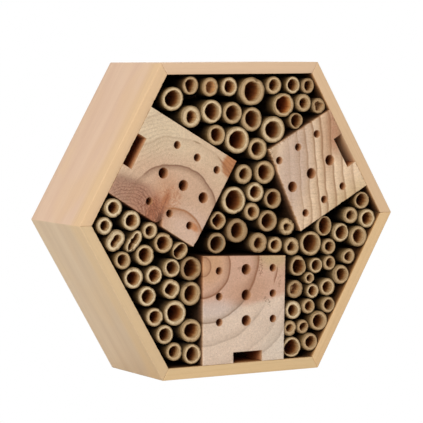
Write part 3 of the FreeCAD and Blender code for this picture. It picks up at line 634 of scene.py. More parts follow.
def zinc(name, tint, rough):
    """Zinc plated steel: faint crystals, fine scratches and duller patches."""
    g = Graph(name, rough)
    g.shader.inputs["Metallic"].default_value = 1.0
    cloud = g.noise((0.4, 0.4, 0.4), 4.0)
    scratch = g.noise((6.0, 6.0, 0.5), 3.0, 0.7)
    colour = g.mix(g.rise(cloud, 0.35, 0.7), tint, scaled(tint, 0.72))
    colour = g.stain(colour, scratch, 0.5, 0.75, 0.35, scaled(tint, 0.5))
    g.bump(scratch, 0.02)
    return g.finish(colour, g.rise(cloud, 0.3, 0.75, rough - 0.08, rough + 0.14))


# ---------------------------------------------------------------- mesh helpers

def add_piece(name, node, points, faces, materials, zones=None, attributes=()):
    """A smooth-shaded piece that rides on the hotel in place of a node. zones is each face's
    material number, and attributes are names with a value for each point."""
    mesh = bpy.data.meshes.new(name)
    mesh.from_pydata([tuple(map(float, point)) for point in points], [], faces)
    for material in materials:
        mesh.materials.append(material)
    mesh.polygons.foreach_set("material_index", zones or [0] * len(faces))
    mesh.polygons.foreach_set("use_smooth", [True] * len(faces))
    for label, values in attributes:
        layer = mesh.attributes.new(label, "FLOAT", "POINT")
        layer.data.foreach_set("value", [float(value) for value in values])
    shape = bmesh.new()
    shape.from_mesh(mesh)
    bmesh.ops.recalc_face_normals(shape, faces=shape.faces)
    shape.to_mesh(mesh)
    shape.free()
    piece = add_object(name, mesh)
    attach(piece, "hotel")
    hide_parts(node)


def ring_faces(first, second, count):
    """Quads between two closed rings of count points, given their first points' numbers."""
    return [(first + i, first + (i + 1) % count, second + (i + 1) % count, second + i)
            for i in range(count)]


def loft(rings, count):
    """Quads from each of so many closed rings of count points to the next."""
    return [face for number in range(rings - 1)
            for face in ring_faces(number * count, (number + 1) * count, count)]


def ends(total, count):
    """The faces that close the first and last rings."""
    return [tuple(range(count)), tuple(range(total - count, total))]


def turned(points, turns):
    """Points turned about the hexagon's centre, seen from the front, by sixths."""
    angle = turns * SIDE_TURN
    cos, sin = math.cos(angle), math.sin(angle)
    points = np.array(points, float).reshape(-1, 3)
    up = points[:, 2] - CENTRE_UP
    return np.c_[points[:, 0] * cos + up * sin, points[:, 1],
                 up * cos - points[:, 0] * sin + CENTRE_UP]


def resample(corners, spacing):
    """A closed outline with points no further apart than spacing, corners kept."""
    points = []
    for start, end in zip(corners, corners[1:] + corners[:1]):
        steps = max(1, math.ceil(math.dist(start, end) / spacing))
        points += [tuple(a + (b - a) * k / steps for a, b in zip(start, end))
                   for k in range(steps)]
    return points


def rounded(corners, radius, sharp):
    """A closed outline with its corners, apart from the sharp one, turned into arcs."""
    points = []
    corners = [Vector(corner) for corner in corners]
    for number, corner in enumerate(corners):
        start = corner + (corners[number - 1] - corner).normalized() * radius
        end = corner + (corners[(number + 1) % len(corners)] - corner).normalized() * radius
        for t in (0.0, 1 / 3, 2 / 3, 1.0):
            arc = (1 - t) ** 2 * start + 2 * t * (1 - t) * corner + t ** 2 * end
            points.append(tuple(arc))
        if number == sharp:
            points[-4:] = [tuple(corner)]
    return points


def outward_normals(outline):
    """Unit normals of a closed outline of pairs, away from its inside."""
    ring = np.array(outline)
    run = np.roll(ring, -1, 0) - np.roll(ring, 1, 0)
    normal = np.c_[run[:, 1], -run[:, 0]]
    normal /= np.maximum(np.linalg.norm(normal, axis=1, keepdims=True), 1e-12)
    area = np.sum(ring[:, 0] * np.roll(ring[:, 1], -1) - np.roll(ring[:, 0], -1) * ring[:, 1])
    return normal if area > 0 else -normal


def roughness_at(place, waves, seed):
    """Smooth noise from -1 to 1, with waves per millimetre."""
    return noise.noise(Vector(place) * (waves / MM) + Vector((seed * 17.3, 0, seed * 5.1)))


# ---------------------------------------------------------------- frame boards

BOARD_SPACING = 2.2 * MM
BOARD_STATIONS = 130
EASED_EDGE = 0.45 * MM
# Gaps from a mitre and how far the board is drawn in at each.
SEAM = ((0.02 * MM, 0.35 * MM), (0.12 * MM, 0.12 * MM), (0.4 * MM, 0.0))


def board_section():
    """The bottom board's section, as pairs of behind and up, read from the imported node."""
    low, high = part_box("frame_board_bottom")
    points = [v.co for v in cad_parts["frame_board_bottom"].data.vertices]
    lip = max(p.z for p in points if p.y > BACK - TOUCH)
    shoulder = max(p.y for p in points if p.z > high.z - TOUCH)
    corners = [(FRONT, low.z), (FRONT, high.z), (shoulder, high.z), (shoulder, lip),
               (BACK, lip), (BACK, low.z)]
    return rounded(corners, EASED_EDGE, sharp=3), high.z


def add_board(side, material):
    """A mitred board with eased edges, a torn inner front edge and fine mitre seams."""
    outline, thickness = board_section()
    outline = resample(outline, BOARD_SPACING)
    away = outward_normals(outline)
    stations = [(-1, gap, inset) for gap, inset in SEAM]
    stations += [(share, SEAM[-1][0] + 0.4 * MM, 0.0)
                 for share in np.linspace(-1, 1, BOARD_STATIONS)]
    stations += [(1, gap, inset) for gap, inset in reversed(SEAM)]
    points = []
    for share, gap, inset in stations:
        for (behind, up), normal in zip(outline, away):
            along = share * ((APOTHEM - up) / math.sqrt(3) - gap)
            torn = max(0.0, roughness_at((along, behind * 0.3, up), 0.9, TURNS[side]) - 0.12)
            near_edge = max(0.0, 1 - math.hypot(behind - FRONT, up - thickness) / (1.3 * MM))
            sink = inset + 0.55 * MM * torn * near_edge
            sink += 0.05 * MM * (1 + roughness_at((along * 0.15, behind, up), 0.12, TURNS[side]))
            points.append((along, behind - normal[0] * sink, up - normal[1] * sink))
    count = len(outline)
    faces = loft(len(stations), count) + ends(len(points), count)
    add_piece(f"board_{side}", f"frame_board_{side}",
              turned(points, TURNS[side]), faces, [material])


# ---------------------------------------------------------------- drilled blocks

def front_loops(node):
    """Closed outlines of a node's front face, as lists of (across, up)."""
    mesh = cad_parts[node].data
    keys = [tuple(round(c / MM, 3) for c in v.co) for v in mesh.vertices]
    edges = {}
    for face in mesh.polygons:
        if all(mesh.vertices[v].co.y < FRONT + TOUCH for v in face.vertices):
            ring = [keys[v] for v in face.vertices]
            for pair in zip(ring, ring[1:] + ring[:1]):
                edge = frozenset(pair)
                edges[edge] = edges.get(edge, 0) + 1
    beside = {}
    for edge, uses in edges.items():
        if uses == 1:
            a, b = tuple(edge)
            beside.setdefault(a, []).append(b)
            beside.setdefault(b, []).append(a)
    loops = []
    while beside:
        start = next(iter(beside))
        loop, here = [start], start
        while beside.get(here):
            there = beside[here].pop()
            beside[there].remove(here)
            if there == start:
                break
            loop.append(there)
            here = there
        beside = {k: v for k, v in beside.items() if v}
        loops.append([(x * MM, z * MM) for x, _, z in loop])
    return sorted(loops, key=lambda loop: min(x for x, _ in loop) - max(x for x, _ in loop))


def inside(points, outline):
    """Whether each of many points lies within a closed outline."""
    points = np.array(points, float).reshape(-1, 2)
    hit = np.zeros(len(points), bool)
    for (x1, z1), (x2, z2) in zip(outline, outline[1:] + outline[:1]):
        if z1 != z2:
            level = (z1 > points[:, 1]) != (z2 > points[:, 1])
            hit ^= level & (points[:, 0] < (x2 - x1) * (points[:, 1] - z1) / (z2 - z1) + x1)
    return hit


def outside(points, rings):
    """Whether each of many points lies in none of the outlines."""
    return ~np.any([inside(points, ring) for ring in rings], axis=0)


def plate(rings, spacing):
    """Points and triangles that fill the first outline around the others."""
    fixed = [tuple(point) for ring in rings for point in ring]
    edges, first = [], 0
    for ring in rings:
        edges += [(first + k, first + (k + 1) % len(ring)) for k in range(len(ring))]
        first += len(ring)
    known = np.array(fixed)
    low, high = known.min(0), known.max(0)
    chance = np.random.default_rng(5)
    across, up = np.meshgrid(np.arange(low[0], high[0], spacing),
                             np.arange(low[1], high[1], spacing))
    loose = np.c_[across.ravel(), up.ravel()]
    loose += chance.uniform(-0.2, 0.2, loose.shape) * spacing
    loose = loose[inside(loose, rings[0]) & outside(loose, rings[1:])]
    apart = np.array([np.min(np.hypot(*(known - point).T)) for point in loose])
    every = fixed + [tuple(point) for point in loose[apart > 0.7 * spacing]]
    places, _, triangles, origins, _, _ = delaunay_2d_cdt(
        [Vector(p) for p in every], edges, [], 1, 1e-9)
    if len(places) != len(every):
        raise RuntimeError("the outlines of a block's face cross")
    middles = [tuple(sum((places[v] for v in t), Vector((0, 0))) / 3) for t in triangles]
    order = [source[0] for source in origins]
    return every, [tuple(order[v] for v in triangle)
                   for triangle, keep in zip(triangles, outside(middles, rings[1:])) if keep]


class Shell:
    """Points, faces and depth values of a piece as it is put together."""

    def __init__(self):
        self.points, self.faces, self.deep = [], [], []

    def ring(self, outline, behind, deep=0.0):
        """Add points at one depth, or at a depth each, and return their numbers."""
        first = len(self.points)
        depths = behind if hasattr(behind, "__len__") else [behind] * len(outline)
        self.points += [(x, y, z) for (x, z), y in zip(outline, depths)]
        self.deep += deep if hasattr(deep, "__len__") else [deep] * len(outline)
        return list(range(first, len(self.points)))

    def wall(self, rings):
        """Quads from each ring of numbers to the next."""
        for first, second in zip(rings[:-1], rings[1:]):
            count = len(first)
            self.faces += [(first[k], first[(k + 1) % count], second[(k + 1) % count], second[k])
                           for k in range(count)]


def from_slot(outline, turns, foot):
    """The outline, anticlockwise, from one foot of the slot round to the other, and the slot
    between them. Both ends belong to both parts."""
    flat = [(x, z - CENTRE_UP) for x, z in outline]
    area = sum(x1 * z2 - x2 * z1 for (x1, z1), (x2, z2) in zip(flat, flat[1:] + flat[:1]))
    ring = outline if area > 0 else outline[::-1]
    across, _, up = turned([(x, 0, z) for x, z in ring], -turns).T
    notch = ((up > foot + TOUCH) & (up < foot + SLOT_REACH)
             & (across > across.min() + SLOT_CLEAR) & (across < across.max() - SLOT_CLEAR))
    start = next(k for k in range(len(ring)) if notch[k - 1] and not notch[k])
    ring = ring[start:] + ring[:start]
    length = int(notch.sum())
    body = ring[:-length]
    return body, [body[-1]] + ring[-length:] + [body[0]]


# A slot lies within this height of the block's foot, and this far from its sides.
SLOT_REACH, SLOT_CLEAR = 8 * MM, 5 * MM
# The rings behind a block's torn front edge, in millimetres: how far in, and how much more for
# each of tear, how far back, how much more for each of tear and at most, and the corner's wear.
EDGE_RINGS = ((0.08, 0.55, 0.12, 0.5, 3.0, 1.2), (0.0, 0.15, 0.4, 3.0, 6.0, 0.8))
# The rings down a hole: how far back, and how much wider than the hole, in millimetres.
HOLE_RINGS = ((0.14, 0.05), (0.5, 0.0), (3, 0.0), (9, 0.0), (20, 0.0), (35, 0.0))
HOLE_POINTS = 48
# How far apart points lie along a block's outline, on its face and on its back.
EDGE_SPACING, FACE_SPACING, BACK_SPACING = 0.7 * MM, 1.3 * MM, 7 * MM


def tears(outline, away, clear, slot_from, torn, bites):
    """How far each point of a block's front edge is torn back, in millimetres: rough all
    round, ragged on the sides, bitten at places, and less than its distance from a corner."""
    amounts = []
    for number, ((x, z), normal) in enumerate(zip(outline, away)):
        rough = max(0.0, roughness_at((x, 0, z), 0.8, 3) + 0.3)
        if number >= slot_from:
            amounts.append(0.05 * rough)
            continue
        ragged = max(0.0, roughness_at((x, 0, z), 0.42, 5)) * (1.0 if normal[0] < 0 else 0.4)
        amount = 0.16 * rough + 2.2 * torn * ragged * abs(normal[0])
        for place, width, depth in bites:
            amount += depth * math.exp(-(math.dist((x / MM, z / MM), place) / width) ** 2)
        amounts.append(min(amount, 0.3 * clear[number]))
    return amounts


def add_block(name, material, torn, bites=(), worn=None):
    """A drilled block with torn edges, flared hole mouths and a faintly wavy sawn face. bites
    are (place, width, depth) and worn is a corner rounded off towards the block's middle."""
    node = f"block_{name}"
    loops = front_loops(node)
    foot = CENTRE_UP - APOTHEM + board_section()[1]
    body, slot = from_slot(resample(loops[0], EDGE_SPACING), TURNS[name], foot)
    outline = body + slot[1:-1]
    border = np.array(outline)
    away = outward_normals(outline)
    corners = [k for k in range(len(outline))
               if away[k - 1] @ away[(k + 1) % len(outline)] < 0.8]
    clear = np.min([np.hypot(*(border - border[k]).T) for k in corners], axis=0) / MM
    tear = tears(outline, away, clear, len(body), torn, bites)

    def face_depth(x, z):
        """How far back the sawn face lies at a place."""
        swell = roughness_at((x, 0, z), 0.12, 7) + 0.5 * roughness_at((x, 0, z), 0.7, 8)
        return FRONT + 0.05 * MM * (1.5 + swell)

    def edge_ring(amounts, wear):
        """The outline moved in by an amount at each point, with its worn corner drawn in."""
        middle = border.mean(0)
        moved = []
        for (x, z), normal, amount in zip(outline, away, amounts):
            x, z = x - normal[0] * (amount * MM), z - normal[1] * (amount * MM)
            if worn:
                near = math.exp(-(math.dist((x / MM, z / MM), worn) / 2.4) ** 2)
                way = Vector((middle[0] - x, middle[1] - z)).normalized() * near * wear * MM
                x, z = x + way.x, z + way.y
            moved.append((x, z))
        return moved

    shell = Shell()
    front = edge_ring([0.3 + t for t in tear], 1.5)
    mouths, centres = [], []
    for hole in loops[1:]:
        middle = tuple(sum(p[k] for p in hole) / len(hole) for k in (0, 1))
        radius = sum(math.dist(p, middle) for p in hole) / len(hole)
        centres.append((middle, radius))
        mouths.append(hole_ring(middle, radius + 0.22 * MM, 0.16 * MM))
    points, triangles = plate([front] + mouths, FACE_SPACING)
    shell.ring(points, [face_depth(*p) for p in points])
    shell.faces += triangles

    side_rings = [list(range(len(outline)))]
    for inset, spread, start, slope, most, wear in EDGE_RINGS:
        behind = [FRONT + min(start + slope * t, most) * MM for t in tear]
        moved = edge_ring([inset + spread * t for t in tear], wear)
        side_rings.append(shell.ring(moved, behind))

    rims = [hole_ring(middle, radius, 0.0) for middle, radius in centres]
    points, triangles = plate([outline] + rims, BACK_SPACING)
    first = len(shell.points)
    shell.ring(points, PANEL_FRONT, 1.0)
    shell.faces += [tuple(first + v for v in triangle) for triangle in triangles]
    length = PANEL_FRONT - FRONT
    # deep stays 0 on the block's sides and grows down the slot, which picks the material's painted
    # shade for holes there.
    for behind in np.linspace(FRONT + 8 * MM, PANEL_FRONT, 12)[:-1]:
        share = (behind - FRONT) / length
        deep = [0.0] * len(body) + [share] * (len(outline) - len(body))
        side_rings.append(shell.ring(outline, behind, deep))
    shell.wall(side_rings + [list(range(first, first + len(outline)))])

    mouth_first, rim_first = len(front), first + len(outline)
    for mouth, (middle, radius) in zip(mouths, centres):
        rings = [list(range(mouth_first, mouth_first + len(mouth)))]
        for behind, flare in HOLE_RINGS:
            ring = hole_ring(middle, radius + flare * MM, 0.0)
            rings.append(shell.ring(ring, FRONT + behind * MM, behind * MM / length))
        shell.wall(rings + [list(range(rim_first, rim_first + len(mouth)))])
        mouth_first += len(mouth)
        rim_first += len(mouth)
    add_piece(f"timber_{name}", node, shell.points, shell.faces, [material],
              attributes=[("deep", shell.deep)])


def hole_ring(middle, radius, ragged):
    """A circle of points, torn outwards by up to ragged."""
    ring = []
    for k in range(HOLE_POINTS):
        angle = math.tau * k / HOLE_POINTS
        x, z = middle[0] + radius * math.cos(angle), middle[1] + radius * math.sin(angle)
        grown = radius + ragged * max(0.0, roughness_at((x, 0, z), 0.8, 11))
        ring.append((middle[0] + grown * math.cos(angle), middle[1] + grown * math.sin(angle)))
    return ring


# ---------------------------------------------------------------- bamboo tubes

def loose_parts(node):
    """The points of each separate solid in a node, merged where they coincide."""
    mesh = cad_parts[node].data
    keys = [tuple(round(c / MM, 2) for c in v.co) for v in mesh.vertices]
    parent = {key: key for key in keys}

    def root(key):
        while parent[key] != key:
            parent[key] = parent[parent[key]]
            key = parent[key]
        return key

    for edge in mesh.edges:
        parent[root(keys[edge.vertices[0]])] = root(keys[edge.vertices[1]])
    parts = {}
    for key in parent:
        parts.setdefault(root(key), []).append(key)
    return [np.array(part) * MM for part in parts.values()]


def seen_flat(points):
    """Places across and up, and the middle of their box."""
    flat = points[:, [0, 2]]
    return flat, (flat.min(0) + flat.max(0)) / 2


def read_tube(points):
    """Middle, radii, oval spread and lean, front and back of one packed tube."""
    flat, middle = seen_flat(points)
    leans = [math.radians(degrees) for degrees in range(0, 180, 2)]
    widths = [np.ptp(flat @ np.array([math.cos(a), math.sin(a)])) for a in leans]
    outer = min(widths) / 2
    spread = max(max(widths) - 2 * outer, 0.0)
    if spread < 0.3 * MM:
        spread = 0.0
    lean = leans[int(np.argmax(widths))]
    along = np.array([math.cos(lean), math.sin(lean)])
    reach = np.clip((flat - middle) @ along, -spread / 2, spread / 2)
    bore = np.min(np.linalg.norm(flat - middle - reach[:, None] * along, axis=1))
    return {"middle": middle, "outer": outer, "bore": bore, "spread": spread, "lean": lean,
            "front": points[:, 1].min(), "back": points[:, 1].max()}


def oval(angles, radius, spread, lean):
    """Distance from the middle to a round or straight-sided oval outline at each angle."""
    cos, sin = np.abs(np.cos(angles - lean)), np.abs(np.sin(angles - lean))
    half = spread / 2
    on_side = radius * cos <= half * sin
    end = half * cos + np.sqrt(np.maximum(radius ** 2 - (half * sin) ** 2, 0))
    return np.where(on_side, radius / np.maximum(sin, 1e-9), end)


def waves(angles, parts):
    """Sum of waves round a circle: (number round, height, phase in degrees)."""
    return sum((a * np.cos(k * angles - math.radians(p)) for k, a, p in parts),
               np.zeros_like(angles))


SKIN, CUT, BORE = 0, 1, 2
TUBE_POINTS = 72
# Where a tube's rings lie: shares of its length along the skin, of the way from the rim to the
# bore, and of the bore's depth.
ALONG_SKIN = (1.0, 0.9, 0.78, 0.66, 0.54, 0.42, 0.32, 0.22, 0.14, 0.08, 0.04)
ACROSS_CUT = (0.0, 0.12, 0.3, 0.5, 0.7, 0.88, 1.0)
DOWN_BORE = (0.012, 0.05, 0.1, 0.18, 0.3, 0.45, 0.62, 0.8, 1.0)
# The thinnest wall, the skin's size at the cut end, and the depth at which the bore starts.
LEAST_WALL, EASED, MOUTH = 0.9 * MM, 0.985, 0.4 * MM


def add_tube(name, node, tube, look, materials):
    """A length of bamboo with an uneven wall, a sawn end, chipped rims and a rough bore."""
    chance = random.Random(name)
    count = TUBE_POINTS
    angles = np.linspace(0, math.tau, count, endpoint=False)
    unit = np.c_[np.cos(angles), np.sin(angles)]

    def turn():
        return chance.uniform(0, 360)

    def lobes(*ranges):
        return [(number, chance.uniform(low, high), turn()) for number, low, high in ranges]

    outer_waves = look.get("outer") or lobes((2, 0, 0.02), (3, 0, 0.012), (5, 0, 0.006))
    bore_waves = look.get("bore") or lobes((2, 0.01, 0.06), (3, 0, 0.04), (4, 0, 0.025))
    bore_waves = bore_waves + [(7, 0.012, turn()), (11, 0.01, turn())]
    outer_wave = waves(angles, outer_waves + [(9, 0.003, turn()), (14, 0.003, turn())])
    outer = oval(angles, tube["outer"], tube["spread"], tube["lean"])
    outer = outer * (1 + outer_wave - outer_wave.max())
    skin = unit * outer[:, None]
    bore = oval(angles, tube["bore"] * look.get("bore_size", 1.0),
                look.get("bore_spread", 1.0) * tube["spread"], tube["lean"])
    bore = bore * (1 + waves(angles, bore_waves))
    shift = look.get("shift", (chance.uniform(-0.3, 0.3), chance.uniform(-0.3, 0.3)))
    lining = unit * bore[:, None] + np.array(shift) * MM
    reach = np.linalg.norm(lining, axis=1)
    lining = lining / reach[:, None] * np.minimum(reach, outer - LEAST_WALL)[:, None]

    chips = sum(max(0, chance.uniform(-1.5, 1)) * np.maximum(
        0, np.cos(angles - chance.uniform(0, math.tau))) ** chance.choice((30, 60, 120))
        for _ in range(6))
    fray = np.array([chance.uniform(0, 1) ** 2 for _ in range(count)])
    edge = (0.26 + 0.28 * fray + look.get("chips", 0.9) * chips) * MM
    tilt, tilt_way = chance.uniform(0, 0.025), chance.uniform(0, math.tau)

    def face(flat, extra=0.0):
        """How far back the sawn end lies at places: a little tilted and rippled."""
        low = tilt * (flat @ np.array([math.cos(tilt_way), math.sin(tilt_way)]))
        low += tilt * tube["outer"]
        ripple = np.array([0.08 * MM * (1 + roughness_at((x, 0, z), 0.7, tube["outer"] / MM))
                           for x, z in flat + tube["middle"]])
        return tube["front"] + low + ripple + extra

    rings = []

    def ring(flat, behind, zone, wall, deep=0.0):
        """Add a ring, with its place in the wall from bore to skin, and in the bore."""
        flat = flat + tube["middle"]
        behind = np.broadcast_to(behind, (count,))
        rings.append((np.c_[flat[:, 0], behind, flat[:, 1]], zone, wall, deep))

    across = skin - lining
    inward = -across / np.linalg.norm(across, axis=1)[:, None]
    length = tube["back"] - tube["front"]
    knot = look.get("knot", chance.uniform(0.15, 0.9))
    for share in ALONG_SKIN:
        swell = 1 - 0.018 * (1 - math.exp(-((share - knot) / 0.02) ** 2))
        swell *= 1 - 0.01 * (1 - share) * chance.uniform(0, 1)
        ring(skin * min(swell, 1.0), tube["front"] + share * length, SKIN, 1.0)
    top = face(skin)
    skin = skin * EASED
    ring(skin, top + 1.6 * edge + 0.2 * MM, SKIN, 1.0)
    ring(skin + inward * (0.25 * edge)[:, None], top + 0.45 * edge, CUT, 1.0)
    rim = skin + inward * edge[:, None]
    inner = lining - inward * (0.18 * MM)
    for share in ACROSS_CUT:
        flat = rim + (inner - rim) * share
        ring(flat, face(flat), CUT, 1.0 - share)
    ring(lining - inward * (0.04 * MM), face(lining, 0.15 * MM), CUT, 0.0)
    blind = look.get("blind")
    depth = blind * MM if blind else length
    end = tube["front"] + depth
    for share in DOWN_BORE:
        rough = np.array([1 + 0.05 * roughness_at((*(10 * MM * way), share * 60 * MM), 0.35,
                                                  tube["bore"] / MM) for way in unit])
        ring(lining * rough[:, None],
             tube["front"] + MOUTH + share * (end - tube["front"] - MOUTH),
             BORE, 0.0, share * (end - tube["front"]) / length)

    shapes, zones, walls, deeps = zip(*rings)
    points = np.concatenate(shapes)
    faces, kinds = loft(len(rings), count), []
    for before, after in zip(zones, zones[1:]):
        kinds += [SKIN if before == SKIN else after] * count
    last = (len(rings) - 1) * count
    if blind:
        tip = len(points)
        plug = shapes[-1].mean(0) + np.array([0, look.get("plug", 1.0) * MM, 0])
        points = np.vstack([points, plug, shapes[0].mean(0)])
        faces += [(last + k, last + (k + 1) % count, tip) for k in range(count)]
        faces += [((k + 1) % count, k, tip + 1) for k in range(count)]
        kinds += [BORE] * count + [CUT] * count
    else:
        faces += ring_faces(last, 0, count)
        kinds += [CUT] * count
    spare = [0.0] * (len(points) - len(rings) * count)
    tone = look.get("tone", min(max(chance.gauss(0.5, 0.1), 0.3), 0.72))
    warm = look.get("warm", chance.uniform(0.3, 0.6))
    add_piece(name, node, points, faces, materials, kinds, [
        ("wall", list(np.repeat(walls, count)) + spare),
        ("deep", list(np.repeat(deeps, count)) + spare),
        ("tone", [tone] * len(points)), ("warm", [warm] * len(points)),
        ("shallow", [look.get("shallow", 0.0)] * len(points))])


# How pale tubes are, from brown at 0 to cream at 1, and those whose bore lies off centre,
# listed by bundle.
TONES = {
    0.9: {"left": "1_1 1_2 2_1 2_2 3_2 3_3 4_1 5_2", "right": "5_2"},
    0.72: {"centre": "03 04", "left": "3_4 4_2 5_1 6_1 6_3", "right": "1_4 4_3 6_1",
           "top": "01 04 07 09 13 14 17 19"},
    0.38: {"centre": "02 06 07", "left": "4_4", "right": "2_3 3_1 3_4 4_5 5_4 6_2 6_4",
           "top": "05 10 15 16"},
    0.22: {"centre": "05 09 10 12", "right": "4_1", "top": "08 11 12"},
    0.1: {"centre": "08", "left": "4_3"},
}
OFF_CENTRE = {"right": "2_3 2_4 3_1 3_3 3_4 4_5 5_3 5_4 6_2 6_3", "top": "08 11"}

# What sets single tubes apart: waves of the outside and the bore, plugs, chips and warmth.
LOOKS = {
    "top_01": {"outer": [(1, 0.03, 225), (2, 0.03, 70)], "bore": [(2, 0.06, 60), (3, 0.03, 200)]},
    "top_02": {"bore": [(1, 0.08, 60), (2, 0.10, 170), (3, 0.08, 100)],
        "outer": [(2, 0.02, 120)]},
    "top_03": {"blind": 9.0, "shallow": 0.8, "warm": 0.9, "plug": 2.0},
    "top_05": {"chips": 1.6, "warm": 0.55, "outer": [(2, 0.02, 20), (6, 0.012, 40)]},
    "top_09": {"warm": 1.0},
    "top_11": {"bore_size": 1.14, "outer": [(3, 0.03, 60)]},
    "top_12": {"blind": 7.0, "shallow": 0.5, "plug": 1.5, "chips": 1.5,
        "bore": [(3, 0.12, 30), (5, 0.08, 80)]},
    "top_13": {"warm": 0.6, "bore": [(2, 0.08, 150), (3, 0.05, 0)]},
    "top_16": {"outer": [(2, 0.03, 90), (4, 0.012, 0)]},
    "centre_07": {"outer": [(4, 0.03, 0)], "bore": [(4, 0.08, 0), (2, 0.04, 90)]},
    "centre_08": {"bore_size": 0.9},
    "centre_09": {"warm": 0.0},
    "centre_11": {"blind": 10.0, "shallow": 0.2, "bore_size": 0.9, "chips": 1.5,
        "bore": [(3, 0.08, 20), (5, 0.05, 70), (2, 0.08, 10)]},
    "left_row_1_5": {"bore": [(2, 0.34, 85), (1, 0.06, 200), (3, 0.05, 40)],
        "outer": [(2, 0.04, 90), (3, 0.02, 30)]},
    "left_row_2_2": {"bore": [(2, 0.16, 100), (3, 0.07, 10)], "outer": [(2, 0.035, 100)]},
    "left_row_2_3": {"bore_spread": 0.92, "tone": 0.8, "chips": 2.2,
        "bore": [(2, 0.05, 120), (4, 0.16, 240), (3, 0.10, 20), (6, 0.06, 80)],
        "outer": [(2, 0.05, 120), (4, 0.05, 240), (7, 0.015, 40)]},
    "left_row_4_2": {"bore": [(4, 0.09, 45), (2, 0.05, 0)], "outer": [(4, 0.012, 45)]},
    "left_row_4_4": {"outer": [(2, 0.03, 140)], "bore": [(2, 0.08, 140)]},
    "right_row_2_3": {"outer": [(1, 0.03, 180), (2, 0.04, 170)], "bore": [(2, 0.08, 170)]},
    "right_row_2_1": {"bore": [(3, 0.13, 270), (1, 0.06, 270), (2, 0.04, 20)]},
    "right_row_3_5": {"outer": [(2, 0.04, 60), (3, 0.03, 200), (5, 0.015, 20)],
        "bore": [(3, 0.08, 200)]},
    "right_row_3_1": {"outer": [(1, 0.03, 90), (3, 0.045, 270), (2, 0.03, 180)]},
    "right_row_3_2": {"bore_size": 1.05, "outer": [(3, 0.02, 90)]},
    "right_row_4_1": {"blind": 8.0, "shallow": 0.25, "plug": -4.0, "chips": 1.5,
        "outer": [(1, 0.03, 315), (2, 0.02, 60)], "bore": [(2, 0.08, 90), (5, 0.06, 30)]},
    "right_row_5_1": {"bore_size": 0.92, "bore": [(2, 0.10, 60)]},
    "right_row_6_2": {"bore_size": 0.9, "bore": [(2, 0.16, 50), (3, 0.06, 20)]},
    "right_row_6_1": {"bore_size": 1.08,
        "bore": [(1, 0.06, 270), (3, 0.06, 250), (2, 0.06, 40)], "warm": 0.5},
}


def listed(tube, names):
    """Whether a tube, such as left_row_2_3, is in a list by bundle."""
    bundle, _, place = tube.replace("_row", "").partition("_")
    return place in names.get(bundle, "").split()


def add_bamboo(materials):
    """Every packed tube, numbered from the left within a node that holds several."""
    for node in sorted(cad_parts):
        if not node.startswith("bamboo_"):
            continue
        tubes = sorted((read_tube(part) for part in loose_parts(node)),
                       key=lambda tube: tube["middle"][0] - 0.1 * tube["middle"][1])
        for number, tube in enumerate(tubes, start=1):
            name = node.removeprefix("bamboo_")
            if len(tubes) > 1:
                name += f"_{number}"
            look = dict(LOOKS.get(name, {}))
            for tone, names in TONES.items():
                if listed(name, names):
                    look["tone"] = tone
            if listed(name, OFF_CENTRE):
                look.setdefault("shift", (0.65, 0.05))
            add_tube(f"tube_{name}", node, tube, look, materials)


# ---------------------------------------------------------------- brads and screws

BRAD_POINTS, SCREW_POINTS = 24, 72
# Where the rings of a domed head lie, as shares of its radius.
OVER_DOME = (1.0, 0.97, 0.9, 0.8, 0.7, 0.62, 0.55, 0.48, 0.4, 0.3, 0.22, 0.15, 0.08)


def add_pin(name, node, packed, material, cross):
    """A brad or screw of its packed size: a pointed shank and a domed head, with a recess as
    deep as cross times the dome."""
    count = SCREW_POINTS if cross else BRAD_POINTS
    behind = packed[:, 1]
    flat, middle = seen_flat(packed)
    reach = np.linalg.norm(flat - middle, axis=1)
    head, tip, top = reach.max(), behind.min(), behind.max()
    shank = reach[behind < tip + TOUCH].max()
    seat = behind[reach > head - TOUCH].min()
    angles = np.linspace(0, math.tau, count, endpoint=False)
    unit = np.c_[np.cos(angles), np.sin(angles)]
    turn = math.radians(25 + 3e4 * middle[0])
    way = np.array([[math.cos(turn), math.sin(turn)], [-math.sin(turn), math.cos(turn)]])
    shapes = [(0.3 * shank, tip), (shank, tip + 1.2 * shank), (shank, seat), (0.97 * head, seat)]
    rings = [(unit * radius, np.full(count, behind)) for radius, behind in shapes]
    for share in OVER_DOME:
        place = unit * head * share
        rise = 0.4 + 0.6 * math.sqrt(1 - share ** 2)
        u, v = np.abs(place @ way.T).T
        sunk = (np.minimum(u, v) < 0.11 * head) & (np.maximum(u, v) < 0.56 * head)
        rings.append((place, seat + (top - seat) * (rise - cross * sunk)))
    points = np.concatenate([np.c_[place[:, 0] + middle[0], behind, place[:, 1] + middle[1]]
                             for place, behind in rings])
    faces = loft(len(rings), count) + ends(len(points), count)
    add_piece(name, node, points, faces, [material])


# ---------------------------------------------------------------- put it together

add_camera()
add_studio()

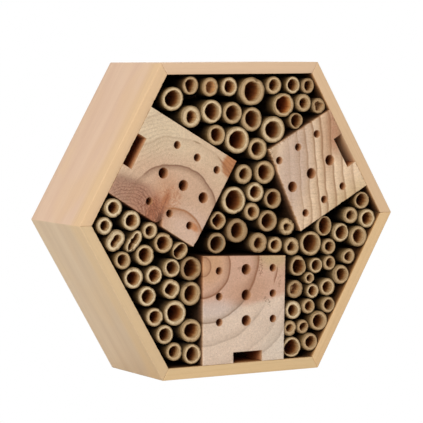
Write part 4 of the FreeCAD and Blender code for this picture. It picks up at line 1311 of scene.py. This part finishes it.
# Each board's light and dark wood, front strip, pith and seed.
BOARDS = {
    "bottom": ((0.75, 0.53, 0.285), (0.66, 0.44, 0.21), (4, (0.75, 0.54, 0.30)), (-4, -57), 6),
    "lower_left": ((0.68, 0.525, 0.36), (0.62, 0.46, 0.31), (16, (0.70, 0.505, 0.295)),
                   (-8, -48), 2),
    "upper_left": ((0.75, 0.535, 0.385), (0.69, 0.465, 0.33), (13, (0.75, 0.515, 0.30)),
                   (18, -60), 1),
    "top": ((0.74, 0.525, 0.36), (0.67, 0.455, 0.30), (4, (0.74, 0.515, 0.335)), (-20, -52), 3),
    "upper_right": ((0.72, 0.49, 0.29), (0.64, 0.42, 0.23), (4, (0.74, 0.51, 0.31)),
                    (5, -55), 4),
    "lower_right": ((0.76, 0.515, 0.275), (0.69, 0.45, 0.225), (4, (0.77, 0.53, 0.29)),
                    (22, -58), 5),
}
for side, look in BOARDS.items():
    add_board(side, pine(side, *look))

add_block("upper_left", timber_upper_left(), 0.2,
          [(spot("upper_left", 0.388, 0.172), 1.5, 4.2),
           (spot("upper_left", 0.375, 0.18), 3.2, 0.7)], spot("upper_left", 0.672, 0.0))
add_block("upper_right", timber_upper_right(), 0.9)
add_block("bottom", timber_bottom(), 0.3)

add_bamboo([bamboo_skin(), bamboo_cut(), bamboo_bore()])

brad = zinc("brad_steel", (0.55, 0.54, 0.50), 0.35)
screw = zinc("screw_zinc", (0.66, 0.62, 0.50), 0.3)
for node, material, slot, cross in (("back_panel_brads", brad, "brad_steel", 0.0),
                                    ("block_brads", brad, "brad_steel", 0.0),
                                    ("hanger_screws", screw, "screw_steel", 0.75)):
    for number, part in enumerate(loose_parts(node), start=1):
        add_pin(f"{node}_{number:02d}", node, part, material, cross)

for node, material in (("back_panel", fibreboard()),
                       ("hanger_plate", zinc("plate_zinc", (0.62, 0.62, 0.60), 0.34)),
                       ("hanger_ring", zinc("ring_zinc", (0.62, 0.61, 0.59), 0.3))):
    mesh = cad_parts[node].data
    mesh.materials.clear()
    mesh.materials.append(material)
